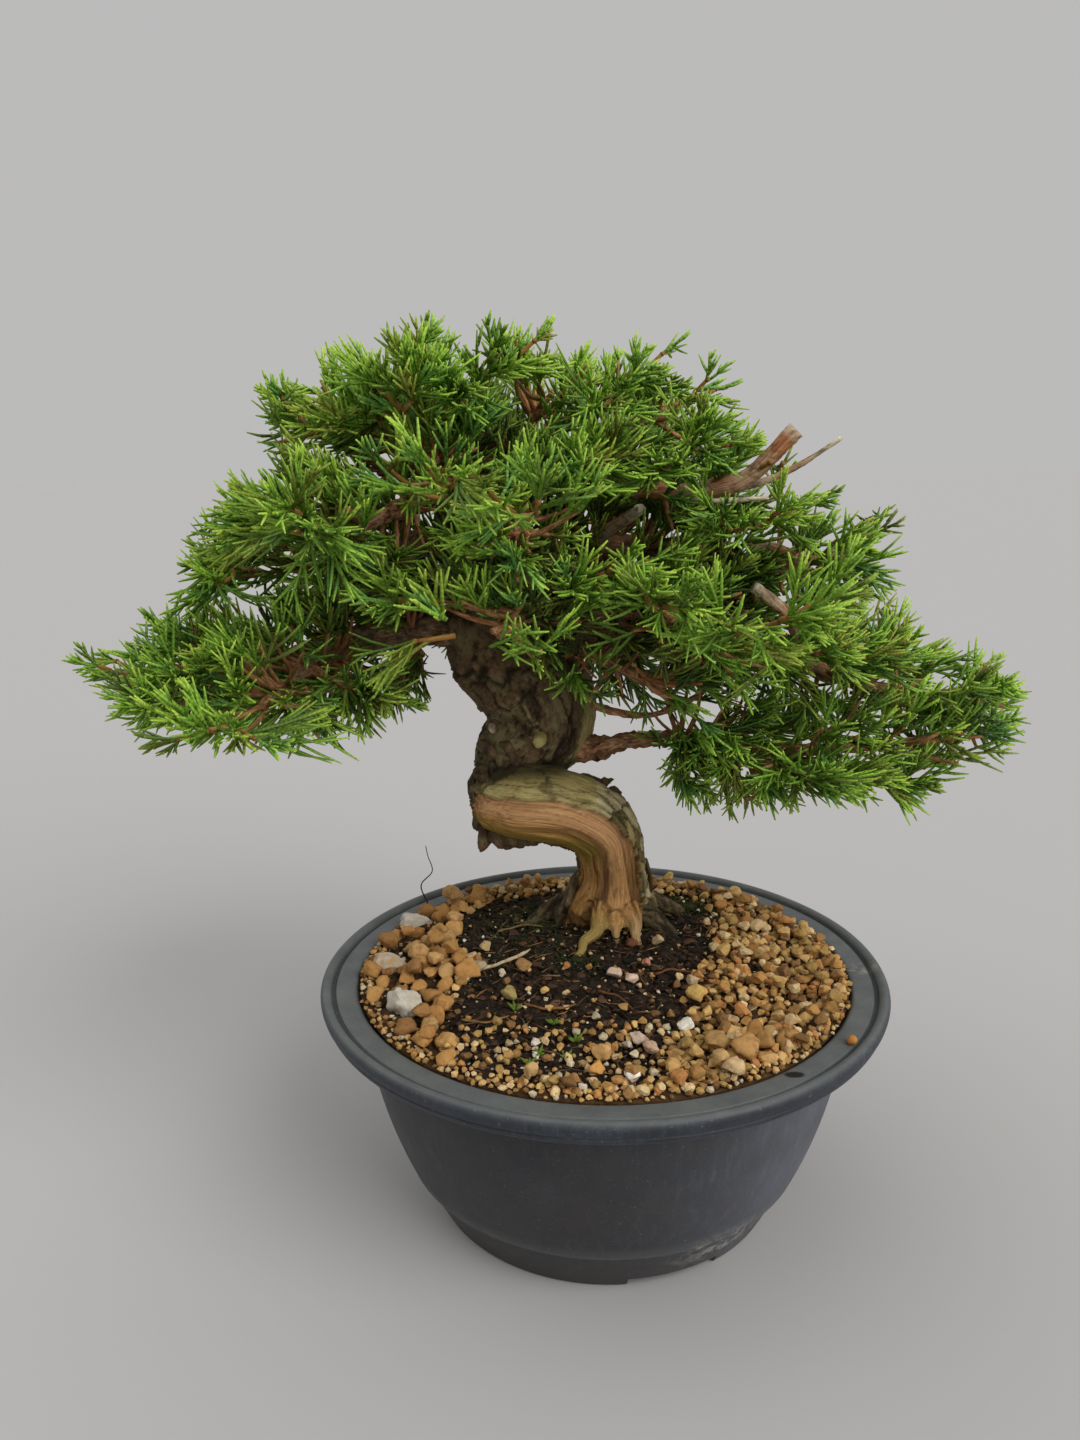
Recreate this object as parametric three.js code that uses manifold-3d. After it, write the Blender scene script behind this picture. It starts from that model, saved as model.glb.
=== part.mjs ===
// Juniper bonsai in a round plastic training pot, with its soil, stones, trunk and sprays of foliage.
// Millimetres, +Z up. The origin is on the table, under the middle of the whole plant's extent.
import * as THREE from 'three';
import { mergeVertices } from 'three/addons/utils/BufferGeometryUtils.js';
import Module from 'manifold-3d';

const wasm = await Module();
wasm.setup();

// The pot's axis stands off the origin, because the crown leans to the left and to the back.
// Every other place in this file is measured from the pot's axis and from the table.
const POT_AXIS_X = 18.5;
const POT_AXIS_Y = -19;

// Clear distance that is left between pieces that touch.
const SEAT_GAP = 0.3;

// Pot
const POT_SEGMENTS = 32;
const RIM_RADIUS = 105;
const RIM_TOP = 87.5;
const BEAD_INNER_RADIUS = 100.6;
const GROOVE_DEPTH = 1.6;
const OPENING_RADIUS = 91;
const LIP_BOTTOM = 79.3;
const LIP_RADIUS = 102.8;
const WALL = 3;
const WALL_TOP_RADIUS = 90;
const WALL_BULGE = 3;
const STEP_RADIUS = 75.6;
const STEP_HEIGHT = 19;
const LEDGE = 2;
const FOOT_RADIUS = 64.8;
const FOOT_RING_WIDTH = 4;
const FLOOR_UNDERSIDE = 5;
const FLOOR_TOP = 8.5;
const DRAIN_RADIUS = 13;
const NOTCH_COUNT = 3;
const NOTCH_FIRST_ANGLE = -71.5;
const NOTCH_SPAN = 29;
const NOTCH_HEIGHT = 3.6;

// Screen over the drain hole
const SCREEN_RADIUS = 22;
const SCREEN_THICKNESS = 1.2;
const SCREEN_HOLE = 4.4;
const SCREEN_PITCH = 7;

// Soil
const SOIL_EDGE_HEIGHT = 83.5;
const SOIL_CROWN = 8.5;
const GRAIN_PITCH = 8.2;
const GRAIN_RISE = 1.8;
const GRAIN_SINK = 0.8;
const SOIL_SEED = 11;

// Stones that lie on the left of the soil, pressed in a little: place, half sizes and turn
const STONES = [
  { place: [-75, 40], half: [7.4, 5.6, 4.6], turn: 25 },
  { place: [-81, 2], half: [6.8, 6.2, 4.8], turn: -40 },
  { place: [-71, -33], half: [6.2, 7.2, 5.2], turn: 10 },
];
const STONE_SINK = 1.6;
const STONE_ROUGHNESS = 0.14;

// Woody parts. A point is [x, y, z, radius], from the root end outwards.
const LOWER_TRUNK = [
  [6, 33, 74, 13], [6, 33, 89, 17.5], [6, 31, 102, 15], [6, 28, 113, 13.4], [5, 25, 123, 13],
  [2, 21, 133, 13.6], [-7, 17, 141, 14], [-19, 16, 145, 14.5], [-32, 17, 146, 14.5],
  [-41, 19, 147, 12.5], [-46, 21, 148, 8],
];
const UPPER_TRUNK = [
  [-38, 24, 152, 11], [-31, 32, 162, 16.5], [-22, 37, 172, 20], [-22, 38, 183, 21.5],
  [-30, 37, 194, 20], [-39, 34, 204, 14], [-46, 31, 212, 10.5], [-49, 29, 219, 8.5],
];
const LEADER = [
  [-24, 38, 188, 15], [-19, 40, 204, 14], [-21, 41, 220, 12], [-33, 40, 236, 10],
  [-48, 37, 250, 8.5], [-54, 35, 264, 7], [-48, 33, 276, 5.5], [-34, 31, 282, 4],
];
const TRUNK_SHAPE = { sides: 10, ringStep: 10, ridge: 0.05 };
const LEADER_SHAPE = { sides: 8, ringStep: 14, ridge: 0.04 };
const ROOT_SHAPE = { sides: 5, ringStep: 9 };
const BOUGH_SHAPE = { sides: 5, ringStep: 30 };
const DEADWOOD_SHAPE = { sides: 5, ringStep: 16 };
const CORE_SHAPE = { sides: 4, ringStep: 20 };
const ROOTS = [
  [[3, 24, 102, 6], [-1, 13, 96, 4], [-6, 2, 92, 3], [-12, -8, 89, 2]],
  [[6, 22, 101, 5], [8, 15, 94, 3.2], [9, 12, 86, 2.4]],
  [[11, 23, 101, 5.5], [15, 13, 95, 3.6], [17, 5, 88, 2.6]],
  [[14, 28, 99, 6.5], [25, 21, 93, 4], [32, 15, 87, 2.6]],
  [[15, 37, 98, 6.5], [27, 43, 93, 4], [37, 47, 87, 2.6]],
  [[3, 44, 98, 6.5], [-2, 56, 93, 4], [-6, 65, 87, 2.6]],
  [[-7, 36, 98, 6.5], [-19, 37, 93, 4.2], [-30, 33, 87, 2.6]],
];

// Boughs that carry foliage. "sprays" gives how far along the bough each spray grows,
// "lift" how strongly its sprays turn upwards.
const BOUGHS = [
  {
    path: [[-44, 31, 209, 7.5], [-66, 32, 211, 6.8], [-90, 31, 208, 5.8], [-110, 27, 203, 4.4],
      [-130, 19, 199, 3.2], [-148, 12, 198, 2.2]],
    sprays: [0.46, 0.64, 0.82, 1],
    lift: 0.12,
  },
  {
    path: [[-88, 31, 208, 4], [-101, 12, 203, 3.2], [-109, -10, 199, 2.6], [-112, -28, 197, 2]],
    sprays: [0.45, 0.75, 1],
    lift: 0,
  },
  {
    path: [[-50, 37, 248, 5], [-68, 34, 244, 4], [-85, 28, 239, 3.2], [-101, 20, 235, 2.2]],
    sprays: [0.5, 0.76, 1],
    lift: 0.24,
  },
  {
    path: [[-53, 35, 261, 4.4], [-64, 18, 259, 3.6], [-75, -4, 255, 2.8], [-82, -22, 250, 2]],
    sprays: [0.5, 0.78, 1],
    lift: 0.36,
  },
  {
    path: [[-51, 34, 268, 4.4], [-62, 32, 270, 3.6], [-71, 28, 271, 2.8], [-79, 24, 271, 2]],
    sprays: [0.6, 1],
    lift: 0.5,
  },
  {
    path: [[-46, 33, 275, 4], [-51, 24, 275, 3.2], [-55, 11, 275, 2.6], [-57, -2, 274, 2]],
    sprays: [0.5, 0.78, 1],
    lift: 0.7,
  },
  {
    path: [[-36, 31, 279, 3.8], [-22, 30, 280, 3.2], [-8, 28, 279, 2.6], [5, 25, 277, 2]],
    sprays: [0.4, 0.72, 1],
    lift: 0.6,
  },
  {
    path: [[-44, 33, 275, 4.4], [-15, 31, 269, 4], [12, 26, 264, 3.2], [34, 20, 259, 2.2]],
    sprays: [0.5, 0.78, 1],
    lift: 0.44,
  },
  {
    path: [[-29, 40, 231, 6], [2, 33, 241, 4.6], [34, 26, 240, 3.4], [62, 18, 234, 2.2]],
    sprays: [0.5, 0.76, 1],
    lift: 0.4,
  },
  {
    path: [[-19, 39, 206, 6.5], [14, 33, 211, 5.4], [46, 25, 207, 4.4], [76, 16, 198, 3.4],
      [102, 9, 190, 2.2]],
    sprays: [0.44, 0.63, 0.82, 1],
    lift: 0.2,
  },
  {
    path: [[-14, 34, 163, 4.4], [12, 28, 167, 3.3], [34, 22, 169, 3], [54, 14, 167, 2.6],
      [74, 6, 163, 2]],
    sprays: [0.6, 0.8, 1],
    lift: 0.02,
  },
  {
    path: [[-45, 37, 247, 4.6], [-38, 14, 252, 3.8], [-30, -14, 252, 3], [-26, -36, 248, 2.1]],
    sprays: [0.5, 0.77, 1],
    lift: 0.44,
  },
  {
    path: [[-22, 41, 220, 5.4], [-20, 14, 224, 4.2], [-26, -12, 223, 3.2], [-34, -34, 219, 2.1]],
    sprays: [0.5, 0.77, 1],
    lift: 0.3,
  },
  {
    path: [[-17, 38, 212, 5], [6, 20, 219, 4], [24, -4, 219, 3], [36, -28, 215, 2.1]],
    sprays: [0.5, 0.77, 1],
    lift: 0.34,
  },
  {
    path: [[-18, 42, 208, 5.6], [-2, 60, 211, 4.4], [10, 76, 209, 3.2], [18, 90, 205, 2.1]],
    sprays: [0.5, 0.77, 1],
    lift: 0.3,
  },
  {
    path: [[-27, 42, 229, 5.2], [-46, 60, 230, 4], [-64, 76, 227, 3], [-78, 88, 222, 2.1]],
    sprays: [0.5, 0.77, 1],
    lift: 0.3,
  },
  {
    path: [[-50, 38, 256, 4.6], [-40, 56, 259, 3.8], [-27, 72, 258, 2.8], [-18, 84, 254, 2.1]],
    sprays: [0.66, 1],
    lift: 0.44,
  },
];

// Side twig that carries a spray
const TWIG_LENGTH = 9;
const TWIG_RADIUS = 1.5;
const SIDE_ANGLE = 52;

// Spray of cord-like foliage: a slim core with side shoots, and cords on all of them
const SPRAY_LENGTH = 31;
const CORE_TIP_RADIUS = 1.15;
const CORE_BEND = 6;
const SHOOT_PLACES = [0.32, 0.64];
const SHOOT_LENGTH = 20;
const SHOOT_RADIUS = 1.15;
const SHOOT_ANGLE = 50;
const CORD_LENGTH = 16;
const CORD_RADIUS = 0.75;
const CORD_ANGLE = 38;
const CORE_CORDS = 3;
const SHOOT_CORDS = 2;
const GOLDEN_ANGLE = 137.5;
const CLEARANCE = 0.35;
const TRIES = 14;
const FOLIAGE_SEED = 5;

// Cut and bleached dead branches, and pruned knobs. A point is [x, y, z, radius].
const DEADWOOD = [
  [[14, 26, 268, 3], [38, 16, 276, 3.4], [66, 4, 282, 3.2]],
  [[30, 22, 265, 2], [56, 12, 273, 1.4], [82, 2, 279, 0.9]],
  [[-2, 32, 244, 3.4], [6, 22, 250, 2.6], [10, 12, 255, 2.1]],
  [[58, 20, 242, 3], [66, 8, 240, 2.4], [71, -2, 236, 2]],
  [[-21, 22, 176, 3], [-20, 15, 175, 2.6], [-20, 12.5, 174.7, 2.2]],
];

const rad = THREE.MathUtils.degToRad;
const UP = new THREE.Vector3(0, 0, 1);

// Repeatable random numbers from 0 to 1.
function randomSource(seed) {
  let state = seed;
  return () => {
    state = (state * 1664525 + 1013904223) % 4294967296;
    return state / 4294967296;
  };
}

// Solid of a closed three.js geometry.
function solidOf(geometry) {
  const bare = geometry.clone();
  bare.deleteAttribute('normal');
  bare.deleteAttribute('uv');
  const merged = mergeVertices(bare, 1e-4);
  const index = merged.index.array;
  const triangles = [];
  for (let i = 0; i < index.length; i += 3) {
    const [a, b, c] = [index[i], index[i + 1], index[i + 2]];
    if (a !== b && b !== c && c !== a) triangles.push(a, b, c);
  }
  return new wasm.Manifold(new wasm.Mesh({
    numProp: 3,
    vertProperties: new Float32Array(merged.attributes.position.array),
    triVerts: new Uint32Array(triangles),
  }));
}

// three.js geometry of a solid, with flat shading.
function geometryOf(solid) {
  const mesh = solid.getMesh();
  const geometry = new THREE.BufferGeometry();
  geometry.setAttribute('position', new THREE.BufferAttribute(mesh.vertProperties, 3));
  geometry.setIndex(new THREE.BufferAttribute(mesh.triVerts, 1));
  geometry.computeVertexNormals();
  return geometry;
}

// Largest single body of a solid, without loose scraps.
function mainBody(solid) {
  const bodies = solid.decompose();
  bodies.sort((a, b) => b.volume() - a.volume());
  return bodies[0];
}

// Solid of revolution about +Z from a profile of [radius, height] points.
function turned(profile) {
  const points = profile.map(([radius, height]) => new THREE.Vector2(radius, height));
  const geometry = new THREE.LatheGeometry(points, POT_SEGMENTS);
  geometry.rotateX(Math.PI / 2);
  return geometry;
}

// Outer radius of the pot's wall at a height between the step and the lip.
function wallRadius(height) {
  const s = (height - STEP_HEIGHT) / (LIP_BOTTOM - STEP_HEIGHT);
  return THREE.MathUtils.lerp(STEP_RADIUS, WALL_TOP_RADIUS, s) + WALL_BULGE * 4 * s * (1 - s);
}

// Heights at which the curved wall has an edge.
function wallHeights(from, to, steps) {
  return Array.from({ length: steps + 1 }, (_, i) => THREE.MathUtils.lerp(from, to, i / steps));
}

// Inner face of the wall, from the floor to the flange, set in by a clear distance.
function innerWall(clear) {
  const heights = wallHeights(STEP_HEIGHT + 4, LIP_BOTTOM, 2);
  return [
    [FOOT_RADIUS - 6 - clear, FLOOR_TOP],
    ...heights.map((height) => [wallRadius(height) - WALL - clear, height]),
    [OPENING_RADIUS - clear, RIM_TOP - 1],
  ];
}

function potGeometry() {
  const wall = wallHeights(STEP_HEIGHT, LIP_BOTTOM, 4).map((height) => [wallRadius(height), height]);
  const outside = [
    [FOOT_RADIUS - FOOT_RING_WIDTH, FLOOR_UNDERSIDE],
    [FOOT_RADIUS - FOOT_RING_WIDTH, 0],
    [FOOT_RADIUS, 0],
    [STEP_RADIUS - LEDGE, STEP_HEIGHT - 1.5],
    ...wall,
    [LIP_RADIUS, LIP_BOTTOM],
    [RIM_RADIUS, LIP_BOTTOM + 3],
    [RIM_RADIUS, RIM_TOP - 1.2],
    [RIM_RADIUS - 1.4, RIM_TOP],
    [BEAD_INNER_RADIUS, RIM_TOP],
    [BEAD_INNER_RADIUS - 0.4, RIM_TOP - GROOVE_DEPTH],
    [OPENING_RADIUS + 1, RIM_TOP - GROOVE_DEPTH],
  ];
  const inside = innerWall(0).reverse();
  const drain = [[DRAIN_RADIUS, FLOOR_TOP], [DRAIN_RADIUS, FLOOR_UNDERSIDE]];
  const profile = [...outside, ...inside.slice(1), ...drain];
  let pot = solidOf(turned([...profile, profile[0]]));
  const reach = FOOT_RADIUS + 6;
  for (let i = 0; i < NOTCH_COUNT; i += 1) {
    const middle = rad(NOTCH_FIRST_ANGLE + (360 / NOTCH_COUNT) * i);
    const half = rad(NOTCH_SPAN / 2);
    const wedge = new THREE.Shape([
      new THREE.Vector2(0, 0),
      new THREE.Vector2(reach * Math.cos(middle - half), reach * Math.sin(middle - half)),
      new THREE.Vector2(reach * 1.1 * Math.cos(middle), reach * 1.1 * Math.sin(middle)),
      new THREE.Vector2(reach * Math.cos(middle + half), reach * Math.sin(middle + half)),
    ]);
    const cutter = new THREE.ExtrudeGeometry(wedge, { depth: NOTCH_HEIGHT + 1, bevelEnabled: false });
    cutter.translate(0, 0, -1);
    pot = pot.subtract(solidOf(cutter));
  }
  return geometryOf(pot);
}

// Plastic mesh that keeps the soil in over the drain hole.
function screenGeometry() {
  const disc = new THREE.CylinderGeometry(SCREEN_RADIUS, SCREEN_RADIUS, SCREEN_THICKNESS, 20, 1);
  disc.rotateX(Math.PI / 2);
  let screen = solidOf(disc);
  const reach = Math.floor(DRAIN_RADIUS / SCREEN_PITCH);
  for (let i = -reach; i <= reach; i += 1) {
    for (let j = -reach; j <= reach; j += 1) {
      const [x, y] = [i * SCREEN_PITCH, j * SCREEN_PITCH];
      if (Math.hypot(x, y) > DRAIN_RADIUS - SCREEN_HOLE / 2) continue;
      const hole = new THREE.BoxGeometry(SCREEN_HOLE, SCREEN_HOLE, SCREEN_THICKNESS * 3);
      hole.translate(x, y, 0);
      screen = screen.subtract(solidOf(hole));
    }
  }
  return geometryOf(screen);
}

// Height of the soil's smooth mound at a distance from the pot's axis.
function moundHeight(x, y) {
  const s = Math.min(1, Math.hypot(x, y) / OPENING_RADIUS);
  return SOIL_EDGE_HEIGHT + SOIL_CROWN * (1 - s * s);
}

// Sheet with a grain at every third point of a triangular lattice.
function grainSheet() {
  const random = randomSource(SOIL_SEED);
  const rowPitch = GRAIN_PITCH * Math.sqrt(0.75);
  const rows = Math.ceil((OPENING_RADIUS * 2 + 8) / rowPitch);
  const columns = Math.ceil((OPENING_RADIUS * 2 + 8) / GRAIN_PITCH + rows / 2);
  const sheet = new THREE.BoxGeometry(columns, rows, 1, columns, rows, 1);
  sheet.deleteAttribute('normal');
  sheet.deleteAttribute('uv');
  const merged = mergeVertices(sheet);
  const place = merged.attributes.position;
  for (let i = 0; i < place.count; i += 1) {
    const column = Math.round(place.getX(i) + columns / 2);
    const row = Math.round(place.getY(i) + rows / 2);
    const top = place.getZ(i) > 0;
    const isGrain = (column + row) % 3 === 0;
    const x = (column - columns / 2 - (row - rows / 2) / 2) * GRAIN_PITCH;
    const y = (row - rows / 2) * rowPitch;
    const shift = GRAIN_PITCH * 0.22;
    const dx = (random() - 0.5) * 2 * shift;
    const dy = (random() - 0.5) * 2 * shift;
    const rise = isGrain ? GRAIN_RISE * (0.6 + 0.8 * random()) : -GRAIN_SINK * random();
    if (top) place.setXYZ(i, x + dx, y + dy, moundHeight(x, y) + rise);
    else place.setXYZ(i, x, y, 0);
  }
  return merged;
}

function stoneSolid({ place: [x, y], half, turn }, seed, grow = 0) {
  const random = randomSource(seed);
  const geometry = mergeVertices(new THREE.IcosahedronGeometry(1, 1).deleteAttribute('normal')
    .deleteAttribute('uv'));
  const corner = geometry.attributes.position;
  for (let i = 0; i < corner.count; i += 1) {
    const scale = 1 - STONE_ROUGHNESS * random();
    corner.setXYZ(i, corner.getX(i) * scale, corner.getY(i) * scale, corner.getZ(i) * scale);
  }
  geometry.scale(half[0] + grow, half[1] + grow, half[2] + grow);
  geometry.rotateZ(rad(turn));
  geometry.translate(x, y, moundHeight(x, y) + half[2] - STONE_SINK);
  return solidOf(geometry);
}

// Tapered limb along a smooth curve, with long twisting ridges of bark.
function limb(path, { sides = 6, ringStep = 12, grow = 0, ridge = 0 } = {}) {
  const curve = new THREE.CatmullRomCurve3(path.map(([x, y, z]) => new THREE.Vector3(x, y, z)));
  const length = curve.getLength();
  const rings = Math.max(1, Math.round(length / ringStep));
  const frames = curve.computeFrenetFrames(rings, false);
  const radii = [];
  const centres = [];
  const positions = [];
  for (let i = 0; i <= rings; i += 1) {
    const t = curve.getUtoTmapping(i / rings);
    const at = Math.min(t * (path.length - 1), path.length - 1.0001);
    const k = Math.floor(at);
    const radius = THREE.MathUtils.lerp(path[k][3], path[k + 1][3], at - k) + grow;
    const centre = curve.getPoint(t);
    radii.push(radius);
    centres.push(centre);
    for (let s = 0; s < sides; s += 1) {
      const angle = (s / sides) * Math.PI * 2;
      const along = (i / rings) * length;
      const wave = Math.sin(3 * angle + along * 0.045) + 0.6 * Math.sin(5 * angle - along * 0.07);
      const reach = radius * (1 + ridge * wave);
      const point = centre.clone()
        .addScaledVector(frames.normals[i], Math.cos(angle) * reach)
        .addScaledVector(frames.binormals[i], Math.sin(angle) * reach);
      positions.push(point.x, point.y, point.z);
    }
  }
  positions.push(centres[0].x, centres[0].y, centres[0].z);
  positions.push(centres[rings].x, centres[rings].y, centres[rings].z);
  const start = positions.length / 3 - 2;
  const end = start + 1;
  const index = [];
  for (let s = 0; s < sides; s += 1) {
    const next = (s + 1) % sides;
    for (let i = 0; i < rings; i += 1) {
      const [a, b] = [i * sides + s, i * sides + next];
      const [c, d] = [a + sides, b + sides];
      index.push(a, b, c, b, d, c);
    }
    index.push(start, next, s);
    index.push(end, rings * sides + s, rings * sides + next);
  }
  const geometry = new THREE.BufferGeometry();
  geometry.setAttribute('position', new THREE.Float32BufferAttribute(positions, 3));
  geometry.setIndex(index);
  return { solid: solidOf(geometry), curve, centres, radii };
}

// Turns a shape that stands along +Y so that it runs from one point towards another.
function aimed(geometry, from, to) {
  const along = to.clone().sub(from).normalize();
  geometry.applyQuaternion(new THREE.Quaternion().setFromUnitVectors(new THREE.Vector3(0, 1, 0), along));
  geometry.translate(from.x, from.y, from.z);
  return solidOf(geometry);
}

// Slim three-sided cord of foliage, with its base sunk in.
function cordSolid(from, to, radius) {
  const length = from.distanceTo(to);
  return aimed(new THREE.ConeGeometry(radius, length, 3, 1).translate(0, length / 2, 0), from, to);
}

// Woody twig or shoot, pointed where it is sunk in and flat at its outer end.
function twigSolid(from, to, radius, tipRadius, sides) {
  const length = from.distanceTo(to);
  const profile = [[0, 0], [radius, length * 0.3], [tipRadius, length], [0, length]];
  return aimed(new THREE.LatheGeometry(profile.map(([r, y]) => new THREE.Vector2(r, y)), sides), from, to);
}

// Shortest distance between the segments from a to b and from c to d.
function segmentGap(a, b, c, d) {
  const u = b.clone().sub(a);
  const v = d.clone().sub(c);
  const w = a.clone().sub(c);
  const uu = u.dot(u);
  const uv = u.dot(v);
  const vv = v.dot(v);
  const uw = u.dot(w);
  const vw = v.dot(w);
  const base = uu * vv - uv * uv;
  const clamp = THREE.MathUtils.clamp;
  let s = base > 1e-9 ? clamp((uv * vw - vv * uw) / base, 0, 1) : 0;
  const t = clamp((uv * s + vw) / vv, 0, 1);
  s = clamp((uv * t - uw) / uu, 0, 1);
  return w.addScaledVector(u, s).addScaledVector(v, -t).length();
}

// Everything that foliage keeps clear of: straight rods with a radius and the name of their node.
const rods = [];

function isClear(node, from, to, radius) {
  return rods.every((rod) => rod.node === node
    || segmentGap(from, to, rod.from, rod.to) > radius + rod.radius + CLEARANCE);
}

// One more limb on the trunk, kept on the list of rods.
function addLimb(tree, path, options) {
  const grown = limb(path, options);
  for (let i = 1; i < grown.centres.length; i += 1) {
    rods.push({
      node: 'trunk',
      from: grown.centres[i - 1],
      to: grown.centres[i],
      radius: Math.max(grown.radii[i - 1], grown.radii[i]) * (1 + 1.6 * (options.ridge ?? 0)),
    });
  }
  return { tree: tree ? tree.add(grown.solid) : grown.solid, curve: grown.curve };
}

// Direction that turns away from an axis by an angle, towards a given side.
function turnedFrom(axis, side, degrees) {
  const across = side.clone().addScaledVector(axis, -side.dot(axis)).normalize();
  return axis.clone().multiplyScalar(Math.cos(rad(degrees)))
    .addScaledVector(across, Math.sin(rad(degrees)));
}

// Trunk, boughs, roots, side twigs and dead wood as one grown piece, and the seats for the sprays.
function growTree() {
  let { tree } = addLimb(null, LOWER_TRUNK, TRUNK_SHAPE);
  ({ tree } = addLimb(tree, UPPER_TRUNK, TRUNK_SHAPE));
  ({ tree } = addLimb(tree, LEADER, LEADER_SHAPE));
  for (const path of ROOTS) {
    ({ tree } = addLimb(tree, path, ROOT_SHAPE));
  }
  for (const path of DEADWOOD) {
    ({ tree } = addLimb(tree, path, DEADWOOD_SHAPE));
  }
  const seats = [];
  for (const { path, sprays, lift } of BOUGHS) {
    const bough = addLimb(tree, path, BOUGH_SHAPE);
    tree = bough.tree;
    sprays.forEach((place, i) => {
      const tangent = bough.curve.getTangentAt(place);
      const side = new THREE.Vector3().crossVectors(UP, tangent).multiplyScalar(i % 2 ? -1 : 1);
      const atTip = place === 1;
      const direction = atTip ? tangent.clone() : turnedFrom(tangent, side, SIDE_ANGLE);
      direction.addScaledVector(UP, lift).normalize();
      const from = bough.curve.getPointAt(place).addScaledVector(tangent, atTip ? -3 : 0);
      const to = from.clone().addScaledVector(direction, TWIG_LENGTH + (atTip ? 0 : 3));
      tree = tree.add(twigSolid(from, to, TWIG_RADIUS, TWIG_RADIUS, 3));
      rods.push({ node: 'trunk', from, to, radius: TWIG_RADIUS });
      seats.push({ point: to, direction, lift });
    });
  }
  return { tree: mainBody(tree), seats };
}

// Free end for a twig or cord, tried at several turns until it is clear of every other node.
function freeEnd(node, random, root, axis, side, { angle, length, radius }) {
  for (let i = 0; i < TRIES; i += 1) {
    const swing = side.clone().applyAxisAngle(axis, (random() - 0.5) * 0.5 * i);
    const direction = turnedFrom(axis, swing, angle + (random() - 0.5) * 16);
    const reach = length * (0.85 + 0.3 * random()) * (1 - 0.03 * i);
    const end = root.clone().addScaledVector(direction, reach);
    if (isClear(node, root, end, radius)) return end;
  }
  return null;
}

// Cords all round the outer part of a core or shoot, and one that carries on from its tip.
function addCords(node, parts, random, from, to, count, radius) {
  const axis = to.clone().sub(from).normalize();
  const level = new THREE.Vector3().crossVectors(axis, UP).normalize();
  const shape = { angle: CORD_ANGLE, length: CORD_LENGTH, radius: CORD_RADIUS };
  for (let i = 0; i <= count; i += 1) {
    const atTip = i === count;
    const root = from.clone().lerp(to, atTip ? 0.95 : 0.36 + (0.56 * i) / (count - 1));
    const side = level.clone().applyAxisAngle(axis, rad(i * GOLDEN_ANGLE + 30));
    const end = freeEnd(node, random, root, axis, side, atTip ? { ...shape, angle: 0 } : shape);
    if (!end) continue;
    parts.push(cordSolid(root, end, radius));
    rods.push({ node, from: root, to: end, radius: CORD_RADIUS });
  }
}

// Core of a spray, which butts on its side twig and is bent until it is clear.
function corePath(node, seat, random) {
  const start = seat.point.clone().addScaledVector(seat.direction, SEAT_GAP);
  const clearStart = start.clone().addScaledVector(seat.direction, TWIG_RADIUS * 2 + CLEARANCE);
  for (let i = 0; i < TRIES * 2; i += 1) {
    const bend = new THREE.Vector3(random() - 0.5, random() - 0.5, random() * 0.5 + seat.lift)
      .multiplyScalar(CORE_BEND * (1 + 0.2 * i));
    const length = SPRAY_LENGTH * (0.9 + 0.2 * random());
    const middle = start.clone().addScaledVector(seat.direction, length * 0.45);
    const end = start.clone().addScaledVector(seat.direction, length).add(bend);
    if (isClear(node, clearStart, middle, TWIG_RADIUS)
      && isClear(node, middle, end, TWIG_RADIUS)) return [start, middle, end];
  }
  return null;
}

// Spray: the slim core twig, its side shoots, and the cords that stand out from them all round.
function growSpray(node, seat, random) {
  const path = corePath(node, seat, random);
  if (!path) return null;
  const [start, middle, end] = path;
  const waist = (TWIG_RADIUS + CORE_TIP_RADIUS) / 2;
  const radii = [TWIG_RADIUS, waist, CORE_TIP_RADIUS];
  const parts = [limb(path.map((point, i) => [...point.toArray(), radii[i]]), CORE_SHAPE).solid];
  rods.push({ node, from: start, to: middle, radius: TWIG_RADIUS });
  rods.push({ node, from: middle, to: end, radius: waist });
  const axis = end.clone().sub(start).normalize();
  const level = new THREE.Vector3().crossVectors(axis, UP).normalize();
  const shape = { angle: SHOOT_ANGLE, length: SHOOT_LENGTH, radius: SHOOT_RADIUS };
  const core = new THREE.CatmullRomCurve3(path);
  SHOOT_PLACES.forEach((place, i) => {
    const root = core.getPointAt(place);
    const side = level.clone().multiplyScalar(i % 2 ? -1 : 1).applyAxisAngle(axis, (random() - 0.5) * 0.9);
    const tip = freeEnd(node, random, root, axis, side, shape);
    if (!tip) return;
    parts.push(twigSolid(root, tip, SHOOT_RADIUS, SHOOT_RADIUS * 0.8, 3));
    rods.push({ node, from: root, to: tip, radius: SHOOT_RADIUS });
    addCords(node, parts, random, root, tip, SHOOT_CORDS, SHOOT_RADIUS * 0.52);
  });
  addCords(node, parts, random, middle, end, CORE_CORDS, CORD_RADIUS);
  return mainBody(parts.reduce((whole, part) => whole.add(part)));
}

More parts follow.
